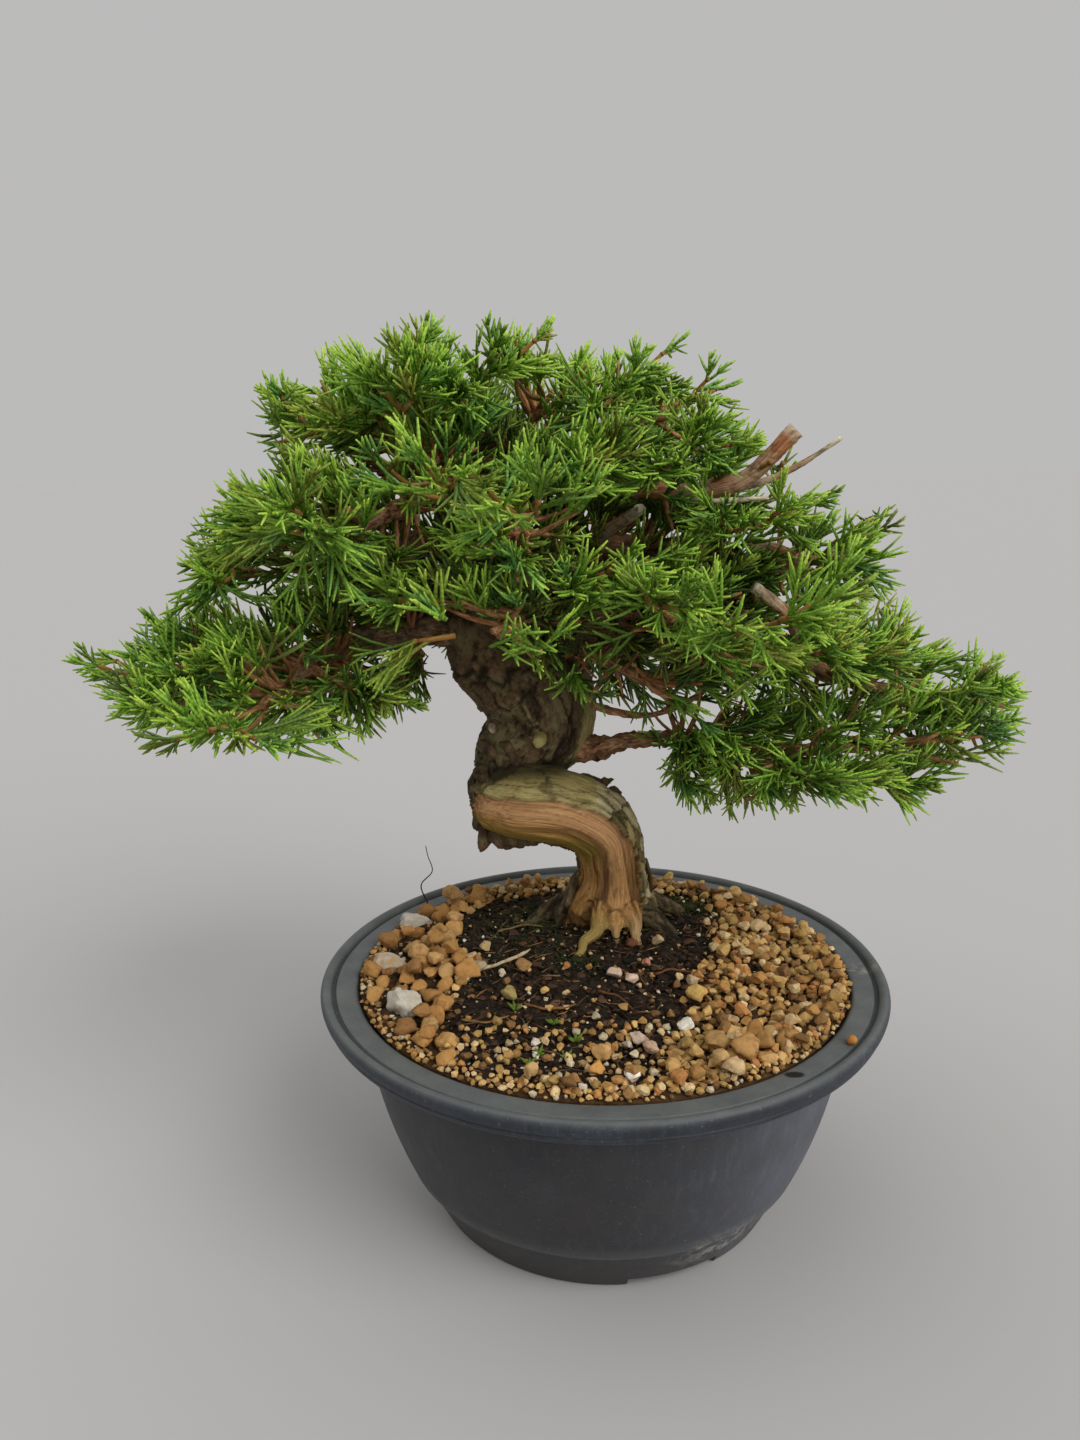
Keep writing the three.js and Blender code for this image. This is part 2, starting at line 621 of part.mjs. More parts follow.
// Soil: the inside of the pot, topped by grains, with plain holes for the trunk's base and the stones.
function soilGeometry() {
  const bottom = FLOOR_TOP + SEAT_GAP;
  const sides = innerWall(SEAT_GAP).slice(1);
  const inside = turned([
    [0, bottom + SCREEN_THICKNESS + SEAT_GAP],
    [SCREEN_RADIUS + SEAT_GAP, bottom + SCREEN_THICKNESS + SEAT_GAP],
    [SCREEN_RADIUS + SEAT_GAP, bottom],
    [FOOT_RADIUS - 6 - SEAT_GAP, bottom],
    ...sides,
    [OPENING_RADIUS - SEAT_GAP, RIM_TOP + SOIL_CROWN + 12],
    [0, RIM_TOP + SOIL_CROWN + 12],
  ]);
  let soil = solidOf(inside).intersect(solidOf(grainSheet()));
  soil = soil.subtract(limb(LOWER_TRUNK, { ...TRUNK_SHAPE, grow: CLEARANCE * 1.5 }).solid);
  for (const path of ROOTS) {
    soil = soil.subtract(limb(path, { ...ROOT_SHAPE, grow: CLEARANCE * 1.5 }).solid);
  }
  STONES.forEach((stone, i) => {
    soil = soil.subtract(stoneSolid(stone, i + 1, CLEARANCE));
  });
  return geometryOf(mainBody(soil));
}

const plastic = new THREE.MeshStandardMaterial({ color: 0x4b5055, roughness: 0.55, metalness: 0 });
const screenPlastic = new THREE.MeshStandardMaterial({ color: 0x1d1e1f, roughness: 0.6, metalness: 0 });
const grain = new THREE.MeshStandardMaterial({ color: 0xa9763c, roughness: 0.95, metalness: 0 });
const paleStone = new THREE.MeshStandardMaterial({ color: 0xc9bfa9, roughness: 0.85, metalness: 0 });
const bark = new THREE.MeshStandardMaterial({ color: 0x73583a, roughness: 0.9, metalness: 0 });
const foliage = new THREE.MeshStandardMaterial({ color: 0x3f7a2a, roughness: 0.7, metalness: 0 });

const bonsai = new THREE.Group();
bonsai.position.set(POT_AXIS_X, POT_AXIS_Y, 0);

function addPiece(name, geometry, material) {
  const mesh = new THREE.Mesh(geometry, material);
  mesh.name = name;
  bonsai.add(mesh);
  return mesh;
}

addPiece('pot', potGeometry(), plastic);
const screen = addPiece('drain_screen', screenGeometry(), screenPlastic);
screen.position.z = FLOOR_TOP + SEAT_GAP + SCREEN_THICKNESS / 2;
addPiece('soil', soilGeometry(), grain);
STONES.forEach((stone, i) => {
  addPiece(`stone_${i + 1}`, geometryOf(stoneSolid(stone, i + 1)), paleStone);
});
const { tree, seats } = growTree();
addPiece('trunk', geometryOf(tree), bark);
const random = randomSource(FOLIAGE_SEED);
seats.forEach((seat, i) => {
  const node = `spray_${String(i + 1).padStart(2, '0')}`;
  const spray = growSpray(node, seat, random);
  if (spray) addPiece(node, geometryOf(spray), foliage);
});

export default bonsai;
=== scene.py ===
# Looks of a juniper bonsai in a training pot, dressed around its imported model.
# Every place and size is in millimetres, measured from the pot's axis and from the table,
# until a mesh is made: there it turns into metres in the model's own frame.
import math

import bmesh
import bpy
import numpy as np
from mathutils import Matrix, Vector


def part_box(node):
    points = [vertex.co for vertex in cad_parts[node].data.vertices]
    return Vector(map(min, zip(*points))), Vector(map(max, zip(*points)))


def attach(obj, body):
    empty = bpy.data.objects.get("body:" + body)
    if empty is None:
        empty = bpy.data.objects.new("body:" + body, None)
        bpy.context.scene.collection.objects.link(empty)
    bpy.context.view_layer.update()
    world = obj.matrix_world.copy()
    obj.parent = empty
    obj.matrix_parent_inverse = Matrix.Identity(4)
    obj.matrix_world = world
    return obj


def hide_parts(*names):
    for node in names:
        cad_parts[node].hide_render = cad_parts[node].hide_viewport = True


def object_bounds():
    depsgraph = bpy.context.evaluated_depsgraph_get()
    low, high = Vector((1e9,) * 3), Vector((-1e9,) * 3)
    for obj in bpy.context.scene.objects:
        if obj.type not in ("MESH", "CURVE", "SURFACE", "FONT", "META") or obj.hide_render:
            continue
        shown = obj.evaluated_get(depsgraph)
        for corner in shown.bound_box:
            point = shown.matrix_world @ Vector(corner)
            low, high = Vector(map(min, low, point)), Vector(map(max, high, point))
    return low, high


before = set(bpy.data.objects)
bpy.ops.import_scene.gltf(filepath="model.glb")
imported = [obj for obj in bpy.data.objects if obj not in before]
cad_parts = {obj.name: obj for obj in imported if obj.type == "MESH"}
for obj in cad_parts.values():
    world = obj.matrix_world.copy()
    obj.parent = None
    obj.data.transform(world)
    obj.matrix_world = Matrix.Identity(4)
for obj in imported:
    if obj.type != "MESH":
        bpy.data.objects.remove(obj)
cad_low, cad_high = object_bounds()

MM = 0.001
UP = np.array([0.0, 0.0, 1.0])
GOLDEN_ANGLE = math.radians(137.5)

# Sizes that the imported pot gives
pot_low, pot_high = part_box("pot")
POT_AXIS = np.array([(pot_low.x + pot_high.x) / 2, (pot_low.y + pot_high.y) / 2, 0]) / MM
RIM_RADIUS = (pot_high.x - pot_low.x) / 2 / MM
RIM_TOP = pot_high.z / MM

# Pot: the shape of the moulding
BEAD_WIDTH = 4.2
FLANGE_DROP = 1.6
OPENING_RADIUS = 91
LIP_BOTTOM = 79.3
LIP_RADIUS = 102.8
WALL = 3
WALL_TOP_RADIUS = 90
WALL_BULGE = 3
STEP_RADIUS = 75.6
STEP_HEIGHT = 19
LEDGE = 2
FOOT_RADIUS = 64.8
FOOT_RING_WIDTH = 4
FLOOR_UNDERSIDE = 5
FLOOR_TOP = 8.5
DRAIN_RADIUS = 13
NOTCH_ANGLES = [-71.5, 48.5, 168.5]
NOTCH_SPAN = 29
NOTCH_HEIGHT = 3.6
# A small hole in the flange, drawn as a dark spot of painted shade
FLANGE_HOLE = (55.3, -77.4, 85.4)
POT_TURNS = 168

# Marks on the pot: bearing and width in degrees
WALL_STAIN = (-58, 12)
# Front-right of the wall: more scuffs there, and painted light as if lit from the right
LIT_AND_WORN_SIDE = (-42, 26)
FLANGE_SPOT = (-4, 2.2)

# Soil
SOIL_EDGE_HEIGHT = 83.5
SOIL_CROWN = 8.5
STONES = [
    {"node": "stone_1", "place": (-75, 40), "half": (7.4, 5.6, 4.6), "turn": 25},
    {"node": "stone_2", "place": (-81, 2), "half": (6.8, 6.2, 4.8), "turn": -40},
    {"node": "stone_3", "place": (-71, -33), "half": (6.2, 7.2, 5.2), "turn": 10},
]
STONE_SINK = 1.6
EDGE_HEAP = 2.6
TRUNK_FOOT = (6, 33)
TRUNK_FOOT_RADIUS = 17.5
BED_RINGS = 74
BED_TURNS = 240

# Where the dark humus ends, and smaller patches: middle and half sizes, and how strong
HUMUS_LEFT = -58
HUMUS_RIGHT = 53
HUMUS_FRONT = (-92, -78)
HUMUS_BACK = (84, 72)
HUMUS_POCKETS = [((56, -12), (5, 8), 1), ((82, -20), (4, 5), 1)]
MOSS_PATCHES = [((44, 64), (14, 20), 1.2), ((-9, -5), (7, 9), 0.7), ((-28, 36), (17, 22), 0.5)]
DAMP_PATCHES = [((-26, 28), (20, 26), 0.5)]

# Woody parts. A point is x, y, z and radius, from the root end outwards.
LOWER_TRUNK = [
    (6, 33, 74, 13), (6, 33, 89, 17.5), (6, 31, 102, 15), (6, 28, 113, 13.4), (5, 25, 123, 13),
    (2, 21, 133, 13.6), (-7, 17, 141, 14), (-19, 16, 145, 14.5), (-32, 17, 146, 14.5),
    (-41, 19, 147, 12.5), (-46, 21, 148, 8),
]
UPPER_TRUNK = [
    (-38, 24, 152, 11), (-31, 32, 162, 16.5), (-22, 37, 172, 20), (-22, 38, 183, 21.5),
    (-30, 37, 194, 20), (-39, 34, 204, 14), (-46, 31, 212, 10.5), (-49, 29, 219, 8.5),
]
LEADER = [
    (-24, 38, 188, 15), (-19, 40, 204, 14), (-21, 41, 220, 12), (-33, 40, 236, 10),
    (-48, 37, 250, 8.5), (-54, 35, 264, 7), (-48, 33, 276, 5.5), (-34, 31, 282, 4),
]
ROOTS = [
    [(2, 24, 105, 6.4), (0, 16, 98, 4.2), (-1.4, 11, 95, 3.3), (-6.4, 6, 93.4, 2.9), (-7.4, 0, 92.4, 2.5),
     (-11, -5, 90.6, 2), (-13, -9, 88, 1.5)],
    [(6, 22, 102, 5), (7, 16, 96, 3.2), (6.4, 13.6, 92, 2.5), (8, 11, 87, 2)],
    [(11, 23, 103, 5.5), (14.4, 15, 97, 3.7), (14, 10.6, 93, 2.9), (16.6, 6, 88, 2.1)],
    [(14, 28, 99, 6.5), (25, 21, 93, 4), (32, 15, 87, 2.6)],
    [(15, 37, 98, 6.5), (27, 43, 93, 4), (37, 47, 87, 2.6)],
    [(3, 44, 98, 6.5), (-2, 56, 93, 4), (-6, 65, 87, 2.6)],
    [(-7, 36, 98, 6.5), (-19, 37, 93, 4.2), (-30, 33, 87, 2.6)],
]
# Boughs: the path, how far along it each spray grows, how strongly the foliage turns upwards and how
# red the bark is. One also says how rough it is, and how far along it its foliage begins.
BOUGHS = [
    {"path": [(-44, 31, 209, 7.5), (-66, 32, 211, 6.8), (-90, 31, 208, 5.8), (-110, 27, 203, 4.4),
              (-130, 19, 199, 3.2), (-148, 12, 198, 2.2)],
     "sprays": [0.46, 0.64, 0.82, 1], "lift": 0.12, "red": 0.1},
    {"path": [(-88, 31, 208, 4), (-101, 12, 203, 3.2), (-109, -10, 199, 2.6), (-112, -28, 197, 2)],
     "sprays": [0.45, 0.75, 1], "lift": 0, "red": 0.5},
    {"path": [(-50, 37, 248, 5), (-68, 34, 244, 4), (-85, 28, 239, 3.2), (-101, 20, 235, 2.2)],
     "sprays": [0.5, 0.76, 1], "lift": 0.24, "red": 0.4},
    {"path": [(-53, 35, 261, 4.4), (-64, 18, 259, 3.6), (-75, -4, 255, 2.8), (-82, -22, 250, 2)],
     "sprays": [0.5, 0.78, 1], "lift": 0.36, "red": 0.6},
    {"path": [(-51, 34, 268, 4.4), (-62, 32, 270, 3.6), (-71, 28, 271, 2.8), (-79, 24, 271, 2)],
     "sprays": [0.6, 1], "lift": 0.5, "red": 0.5},
    {"path": [(-46, 33, 275, 4), (-51, 24, 275, 3.2), (-55, 11, 275, 2.6), (-57, -2, 274, 2)],
     "sprays": [0.5, 0.78, 1], "lift": 0.7, "red": 0.6},
    {"path": [(-36, 31, 279, 3.8), (-22, 30, 280, 3.2), (-8, 28, 279, 2.6), (5, 25, 277, 2)],
     "sprays": [0.4, 0.72, 1], "lift": 0.6, "red": 0.6},
    {"path": [(-44, 33, 275, 4.4), (-15, 31, 269, 4), (12, 26, 264, 3.2), (34, 20, 259, 2.2)],
     "sprays": [0.5, 0.78, 1], "lift": 0.44, "red": 0.7},
    {"path": [(-29, 40, 231, 6), (2, 33, 241, 4.6), (34, 26, 240, 3.4), (62, 18, 234, 2.2)],
     "sprays": [0.5, 0.76, 1], "lift": 0.4, "red": 0.4},
    {"path": [(-19, 39, 206, 6.5), (14, 33, 211, 5.4), (46, 25, 207, 4.4), (76, 16, 198, 3.4),
              (102, 9, 190, 2.2)],
     "sprays": [0.44, 0.63, 0.82, 1], "lift": 0.2, "red": 0.4},
    {"path": [(-14, 34, 163, 6), (1, 30, 164, 4.8), (12, 28, 167, 3.2), (34, 22, 169, 2.7),
              (54, 14, 167, 2.5), (74, 6, 163, 2)],
     "sprays": [0.6, 0.8, 1], "lift": 0.02, "red": 0.62, "leafy_from": 0.5, "rough": 0.5},
    {"path": [(-45, 37, 247, 4.6), (-38, 14, 252, 3.8), (-30, -14, 252, 3), (-26, -36, 248, 2.1)],
     "sprays": [0.5, 0.77, 1], "lift": 0.44, "red": 0.6},
    {"path": [(-22, 41, 220, 5.4), (-20, 14, 224, 4.2), (-26, -12, 223, 3.2), (-34, -34, 219, 2.1)],
     "sprays": [0.5, 0.77, 1], "lift": 0.3, "red": 0.7},
    {"path": [(-17, 38, 212, 5), (6, 20, 219, 4), (24, -4, 219, 3), (36, -28, 215, 2.1)],
     "sprays": [0.5, 0.77, 1], "lift": 0.34, "red": 0.6},
    {"path": [(-18, 42, 208, 5.6), (-2, 60, 211, 4.4), (10, 76, 209, 3.2), (18, 90, 205, 2.1)],
     "sprays": [0.5, 0.77, 1], "lift": 0.3, "red": 0.5},
    {"path": [(-27, 42, 229, 5.2), (-46, 60, 230, 4), (-64, 76, 227, 3), (-78, 88, 222, 2.1)],
     "sprays": [0.5, 0.77, 1], "lift": 0.3, "red": 0.4},
    {"path": [(-50, 38, 256, 4.6), (-40, 56, 259, 3.8), (-27, 72, 258, 2.8), (-18, 84, 254, 2.1)],
     "sprays": [0.66, 1], "lift": 0.44, "red": 0.6},
    {"path": [(-60, 32, 270, 2.8), (-77, 26, 280, 2.1), (-91, 19, 287, 1.6), (-101, 13, 291, 1.2)],
     "lift": 0.4, "red": 0.8},
    {"path": [(-83, 29, 239, 2.8), (-99, 21, 248, 2.0), (-113, 12, 256, 1.3)], "lift": 0.3, "red": 0.7},
    {"path": [(-50, 31, 275, 2.6), (-53, 26, 287, 1.9), (-50, 21, 296, 1.3)], "lift": 0.8, "red": 0.8},
    {"path": [(-24, 30, 280, 2.4), (-21, 25, 290, 1.8), (-15, 19, 297, 1.2)], "lift": 0.8, "red": 0.8},
    {"path": [(3, 25, 277, 2.2), (14, 20, 284, 1.7), (26, 13, 288, 1.2)], "lift": 0.6, "red": 0.8},
    {"path": [(52, 15, 167, 2.6), (78, 2, 169, 2.1), (98, -4, 172, 1.6), (116, -8, 175, 1.2)],
     "lift": 0.05, "red": 0.8},
    {"path": [(-17, 35, 205, 2.8), (-6, 17, 204, 2.0), (8, 3, 200, 1.6), (22, -8, 196, 1.1)],
     "lift": 0.0, "red": 0.8},
    {"path": [(98, 10, 191, 2.2), (122, 3, 187, 1.8), (144, -2, 185, 1.3)], "lift": 0.1, "red": 0.6},
    {"path": [(58, 19, 234, 2.4), (77, 10, 237, 1.8), (92, 2, 238, 1.3)], "lift": 0.3, "red": 0.6},
]
# Bare thin branches that carry no spray of their own
THIN_BRANCHES = [
    [(-10, 34, 183, 2.4), (-1, 30, 181, 1.7), (10, 27, 178.2, 1.5), (22, 25, 178, 1.4), (32, 22, 182, 1.3),
     (42, 18, 190, 1.1)],
]
SIDE_ANGLE = 52
TWIG_LENGTH = 9
TWIG_RADIUS = 1.5
TWIG_SINK = 3

# Cut and bleached dead branches and pruned knobs: how pale their wood is, how much lichen it has, from
# how far along they are bare, and how many pixels round them stay clear of foliage
DEADWOOD = [
    {"path": [(14, 26, 262, 3), (40, 14, 262.5, 3.3), (51, 9, 265.5, 3.3), (68, 4, 282, 3.1)],
     "pale": 0.14, "shown_from": 0.68, "clear": 12},
    {"path": [(30, 22, 260, 2), (56, 12, 264, 1.4), (68, 8, 269, 1.2), (83, 2, 279, 0.8)],
     "pale": 0.7, "shown_from": 0.72, "clear": 9},
    {"path": [(-2, 32, 244, 3.4), (6, 22, 249, 2.6), (16, 12, 256, 2.0)],
     "pale": 0.5, "shown_from": 0.5, "clear": 9},
    {"path": [(58, 20, 242, 3), (66, 8, 240, 2.4), (71, -2, 236, 2)],
     "pale": 0.2, "shown_from": 1, "clear": 7},
    {"path": [(74, 16, 199, 2.2), (71, 8, 211, 2.1), (65, 0, 220, 2.2), (59, -3.5, 225, 2.2),
              (53, -6, 229.5, 2.1)],
     "pale": 0.3, "shown_from": 0.62, "clear": 10},
    {"path": [(32, 20, 259, 1.5), (38, 8, 258.4, 1.1), (48, 5, 258.8, 1.0), (58.8, 2, 259.3, 0.7)],
     "pale": 1.0, "shown_from": 0.5, "clear": 6},
    {"path": [(-21, 22, 172, 3), (-22, 15, 170.8, 2.6), (-22.4, 12.6, 170.6, 2.1)],
     "pale": 0.6, "lichen": 0.75, "shown_from": 0, "clear": 12},
    {"path": [(-40.2, 22, 175.6, 1.2), (-39.8, 18.4, 174.8, 1.2), (-39.3, 17.4, 174, 0.8)],
     "pale": 0.3, "shown_from": 0, "clear": 6},
]

# Camera of the photograph, from the pot's axis, and the size of its picture in pixels
CAMERA_PLACE = (-21.71, -379.24, 269.82)
CAMERA_PITCH = 12.98
CAMERA_ROLL = 1.0
CAMERA_FOCAL_PIXELS = 1081
PICTURE_SIZE = (1080, 1440)
SENSOR = 36

# Edge of the crown in the picture, clockwise from its left tip: pixels across and down
CROWN_OUTLINE = [
    (50, 660), (82, 640), (126, 640), (138, 606), (160, 598), (176, 575), (180, 545), (203, 516),
    (224, 480), (250, 448), (260, 410), (288, 368), (338, 334), (385, 332), (432, 316), (470, 332),
    (510, 324), (560, 346), (605, 348), (665, 362), (700, 390), (748, 398), (768, 440), (812, 492),
    (862, 514), (895, 530), (908, 590), (925, 648), (990, 646), (1030, 690), (1028, 738), (962, 778),
    (922, 818), (870, 808), (830, 794), (785, 808), (700, 815), (662, 796), (676, 764), (640, 722),
    (604, 712), (560, 700), (500, 676), (462, 700), (396, 708), (364, 754), (330, 746), (280, 756),
    (236, 750), (200, 728), (140, 732), (96, 714), (52, 686),
]

# Parts of the picture, in pixels, where no foliage nearer than a depth hides the trunk and the stubs
TRUNK_SHOWN = [
    (432, 622), (452, 604), (482, 606), (500, 642), (528, 652), (548, 682), (574, 702), (606, 710),
    (600, 736), (452, 736), (428, 690),
]
STUBS_SHOWN = [(764, 424), (800, 396), (866, 412), (852, 452), (808, 480), (780, 462)]
TRUNK_DEPTH = 430

# Parts of the crown where little foliage hides the branches: middle and half sizes in pixels
OPEN_PARTS = [
    (430, 462, 92, 27), (400, 508, 44, 40), (538, 520, 28, 38), (628, 532, 54, 32), (400, 632, 66, 34),
    (256, 620, 24, 24), (618, 632, 36, 28), (765, 615, 46, 24), (330, 655, 58, 26), (612, 672, 58, 38),
    (690, 705, 60, 26), (446, 446, 60, 22),
]
OPEN_KEPT = 0.14
OPEN_DEPTH = 440


# Numbers and noise

def smoothstep(low, high, value):
    """0 below low, 1 above high and smooth between."""
    t = np.clip((value - low) / (high - low), 0, 1)
    return t * t * (3 - 2 * t)


def peak(value, middle, width):
    """1 in the middle and soon 0 on both sides of it."""
    return np.exp(-((value - middle) / width) ** 2)


def patches(x, y, spots):
    """Sum of soft spots on the soil, each with its middle, half sizes and strength."""
    return sum(s * np.exp(-(((x - a) / w) ** 2 + ((y - b) / h) ** 2)) for (a, b), (w, h), s in spots)


def lattice_random(cell, seed):
    """Repeatable random numbers from 0 to 1 for whole-numbered cells."""
    mask = 0xFFFFFFFF
    key = cell[..., 0] * 374761393 + cell[..., 1] * 668265263 + cell[..., 2] * 1440662683
    key = (key + seed * 974634777) & mask
    key = ((key ^ (key >> 13)) * 1274126177) & mask
    key = ((key ^ (key >> 15)) * 2246822519) & mask
    return ((key ^ (key >> 16)) & 0xFFFFF) / 0xFFFFF


def noise(points, seed=0):
    """Smooth noise from -1 to 1."""
    cell = np.floor(points).astype(np.int64)
    t = points - cell
    t = t * t * (3 - 2 * t)
    total = np.zeros(points.shape[:-1])
    for corner in range(8):
        offset = np.array([corner & 1, corner >> 1 & 1, corner >> 2 & 1])
        weight = np.prod(np.where(offset == 1, t, 1 - t), axis=-1)
        total += weight * (lattice_random(cell + offset, seed) * 2 - 1)
    return total


def fractal(points, octaves=3, seed=0):
    """Noise at several scales, from about -1 to 1."""
    total = np.zeros(points.shape[:-1])
    for i in range(octaves):
        total += noise(points * 2 ** i, seed + 17 * i) * 0.5 ** i
    return total / 1.5


def cells(points, seed=0):
    """How far inside its cell of a pattern each point is, 0 on the border, and the cell's number."""
    base = np.floor(points).astype(np.int64)
    first = np.full(points.shape[:-1], 9.0)
    second = np.full(points.shape[:-1], 9.0)
    number = np.zeros(points.shape[:-1])
    for step in np.ndindex(3, 3, 3):
        cell = base + np.array(step) - 1
        place = cell + np.stack([lattice_random(cell, seed + i) for i in range(3)], -1)
        far = np.linalg.norm(points - place, axis=-1)
        nearer = far < first
        second = np.where(nearer, first, np.minimum(second, far))
        number = np.where(nearer, lattice_random(cell, seed + 5), number)
        first = np.where(nearer, far, first)
    return second - first, number


def in_picture(points):
    """Where the camera sees points: pixels across and down, and how far away along its axis."""
    away = np.asarray(points, float) - CAMERA_PLACE
    pitch, roll = math.radians(CAMERA_PITCH), math.radians(CAMERA_ROLL)
    depth = away[..., 1] * math.cos(pitch) - away[..., 2] * math.sin(pitch)
    rise = away[..., 1] * math.sin(pitch) + away[..., 2] * math.cos(pitch)
    across = away[..., 0] * math.cos(roll) - rise * math.sin(roll)
    rise = away[..., 0] * math.sin(roll) + rise * math.cos(roll)
    x = PICTURE_SIZE[0] / 2 + CAMERA_FOCAL_PIXELS * across / depth
    y = PICTURE_SIZE[1] / 2 - CAMERA_FOCAL_PIXELS * rise / depth
    return x, y, depth


def in_outline(points, outline):
    """Whether the camera sees each point inside a closed outline."""
    x, y, _ = in_picture(points)
    inside = np.zeros(np.shape(x), bool)
    for (x0, y0), (x1, y1) in zip(outline, outline[1:] + outline[:1]):
        if y0 != y1:
            inside ^= ((y0 > y) != (y1 > y)) & (x < (x1 - x0) * (y - y0) / (y1 - y0) + x0)
    return inside


def unit(vectors):
    """The same directions with length 1."""
    return vectors / np.maximum(np.linalg.norm(vectors, axis=-1, keepdims=True), 1e-9)


# Meshes

def piece(name, points, faces, material, replaces=(), values=None, smooth=True):
    """An object from points in millimetres and lists of faces, that rides on the only body."""
    mesh = bpy.data.meshes.new(name)
    points = (np.asarray(points, float).reshape(-1, 3) + POT_AXIS) * MM
    faces = [np.asarray(f, np.int64) for f in faces if len(f)]
    loops = np.concatenate([f.ravel() for f in faces])
    counts = np.concatenate([np.full(len(f), f.shape[1]) for f in faces])
    mesh.vertices.add(len(points))
    mesh.vertices.foreach_set("co", points.astype(np.float32).ravel())
    mesh.loops.add(len(loops))
    mesh.loops.foreach_set("vertex_index", loops.astype(np.int32))
    mesh.polygons.add(len(counts))
    mesh.polygons.foreach_set("loop_start", (np.cumsum(counts) - counts).astype(np.int32))
    mesh.update(calc_edges=True)
    mesh.validate()
    mesh.polygons.foreach_set("use_smooth", np.full(len(mesh.polygons), smooth))
    for key, value in (values or {}).items():
        add_values(mesh, key, value)
    thing = bpy.data.objects.new(name, mesh)
    bpy.context.scene.collection.objects.link(thing)
    mesh.materials.append(material)
    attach(thing, "root")
    if replaces:
        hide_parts(*replaces)
    return thing


def add_values(mesh, key, value):
    """A number, or a vector or colour of three numbers, for each vertex."""
    value = np.asarray(value, np.float32)
    if value.ndim == 1:
        mesh.attributes.new(key, "FLOAT", "POINT").data.foreach_set("value", value)
    else:
        mesh.attributes.new(key, "FLOAT_VECTOR", "POINT").data.foreach_set("vector", value.ravel())


class Heap:
    """Many small shapes that become one mesh."""

    def __init__(self):
        self.points = []
        self.faces = {}
        self.values = {}
        self.count = 0

    def add(self, points, faces, **values):
        points = np.asarray(points, float).reshape(-1, 3)
        for face in faces:
            face = np.asarray(face, np.int64)
            self.faces.setdefault(face.shape[1], []).append(face + self.count)
        for key, value in values.items():
            value = np.asarray(value, float)
            if value.ndim == 0 or value.shape[0] != len(points):
                value = np.broadcast_to(value, (len(points), *value.shape))
            self.values.setdefault(key, []).append(value)
        self.points.append(points)
        self.count += len(points)

    def piece(self, name, material, slot, replaces=(), smooth=True):
        faces = [np.concatenate(f) for f in self.faces.values()]
        values = {key: np.concatenate(v) for key, v in self.values.items()}
        return piece(name, np.concatenate(self.points), faces, material, replaces, values, smooth)


def tube_faces(count, rings, sides):
    """Faces of several closed tubes whose points go tube by tube, ring by ring."""
    ring, side = np.meshgrid(np.arange(rings - 1), np.arange(sides), indexing="ij")
    after = (side + 1) % sides
    wall = np.stack([ring * sides + side, ring * sides + after,
                     (ring + 1) * sides + after, (ring + 1) * sides + side], -1).reshape(-1, 4)
    start = np.arange(sides)[::-1][None]
    end = (np.arange(sides) + (rings - 1) * sides)[None]
    shift = (np.arange(count) * rings * sides)[:, None, None]
    return [(wall[None] + shift).reshape(-1, 4), (start[None] + shift).reshape(-1, sides),
            (end[None] + shift).reshape(-1, sides)]


def tubes(heap, paths, radii, sides, **values):
    """Adds closed tubes: paths is (tubes, rings, 3), radii and values are (tubes, rings) or more."""
    paths = np.asarray(paths, float)
    count, rings, _ = paths.shape
    along = unit(np.gradient(paths, axis=1))
    mean = unit(paths[:, -1] - paths[:, 0])
    guide = np.where(np.abs(mean[:, 2:]) > 0.85, [[1.0, 0, 0]], [[0, 0, 1.0]])[:, None]
    across = unit(np.cross(along, guide))
    level = np.cross(across, along)
    angle = np.arange(sides) * 2 * math.pi / sides
    spread = (across[:, :, None] * np.cos(angle)[:, None] + level[:, :, None] * np.sin(angle)[:, None])
    points = paths[:, :, None] + spread * np.asarray(radii)[:, :, None, None]
    told = {}
    for key, value in values.items():
        value = np.asarray(value, float)
        told[key] = np.repeat(value.reshape(count * rings, *value.shape[2:]), sides, axis=0)
    heap.add(points, tube_faces(count, rings, sides), **told)


def smooth_path(path, step):
    """Points, radii, directions and distances along the smooth curve through a path's points."""
    path = np.asarray(path, float)
    places = path[:, :3]
    padded = np.vstack([2 * places[0] - places[1], places, 2 * places[-1] - places[-2]])
    fine = []
    steps = 60
    for k in range(len(path) - 1):
        p0, p1, p2, p3 = padded[k:k + 4]
        d0, d1, d2 = [max(np.linalg.norm(b - a) ** 0.5, 1e-4) for a, b in ((p0, p1), (p1, p2), (p2, p3))]
        t1 = ((p1 - p0) / d0 - (p2 - p0) / (d0 + d1) + (p2 - p1) / d1) * d1
        t2 = ((p2 - p1) / d1 - (p3 - p1) / (d1 + d2) + (p3 - p2) / d2) * d1
        last = steps + (k == len(path) - 2)
        t = np.arange(last)[:, None] / steps
        at = p1 + t1 * t + (3 * (p2 - p1) - 2 * t1 - t2) * t ** 2 + (2 * (p1 - p2) + t1 + t2) * t ** 3
        radius = path[k, 3] + (path[k + 1, 3] - path[k, 3]) * t
        fine.append(np.hstack([at, radius]))
    fine = np.vstack(fine)
    run = np.concatenate([[0], np.cumsum(np.linalg.norm(np.diff(fine[:, :3], axis=0), axis=1))])
    rings = max(2, int(round(run[-1] / step)) + 1)
    at = np.linspace(0, run[-1], rings)
    points = np.stack([np.interp(at, run, fine[:, i]) for i in range(3)], -1)
    radii = np.interp(at, run, fine[:, 3])
    return points, radii, unit(np.gradient(points, axis=0)), at


def carried_frames(along):
    """Two directions across a curve at each of its points, carried along it without twist."""
    first = np.cross(along[0], UP if abs(along[0][2]) < 0.9 else np.array([0, 1.0, 0]))
    first = unit(first)
    across = [first]
    for direction in along[1:]:
        carried = across[-1] - direction * np.dot(across[-1], direction)
        across.append(unit(carried))
    across = np.array(across)
    return across, np.cross(along, across)


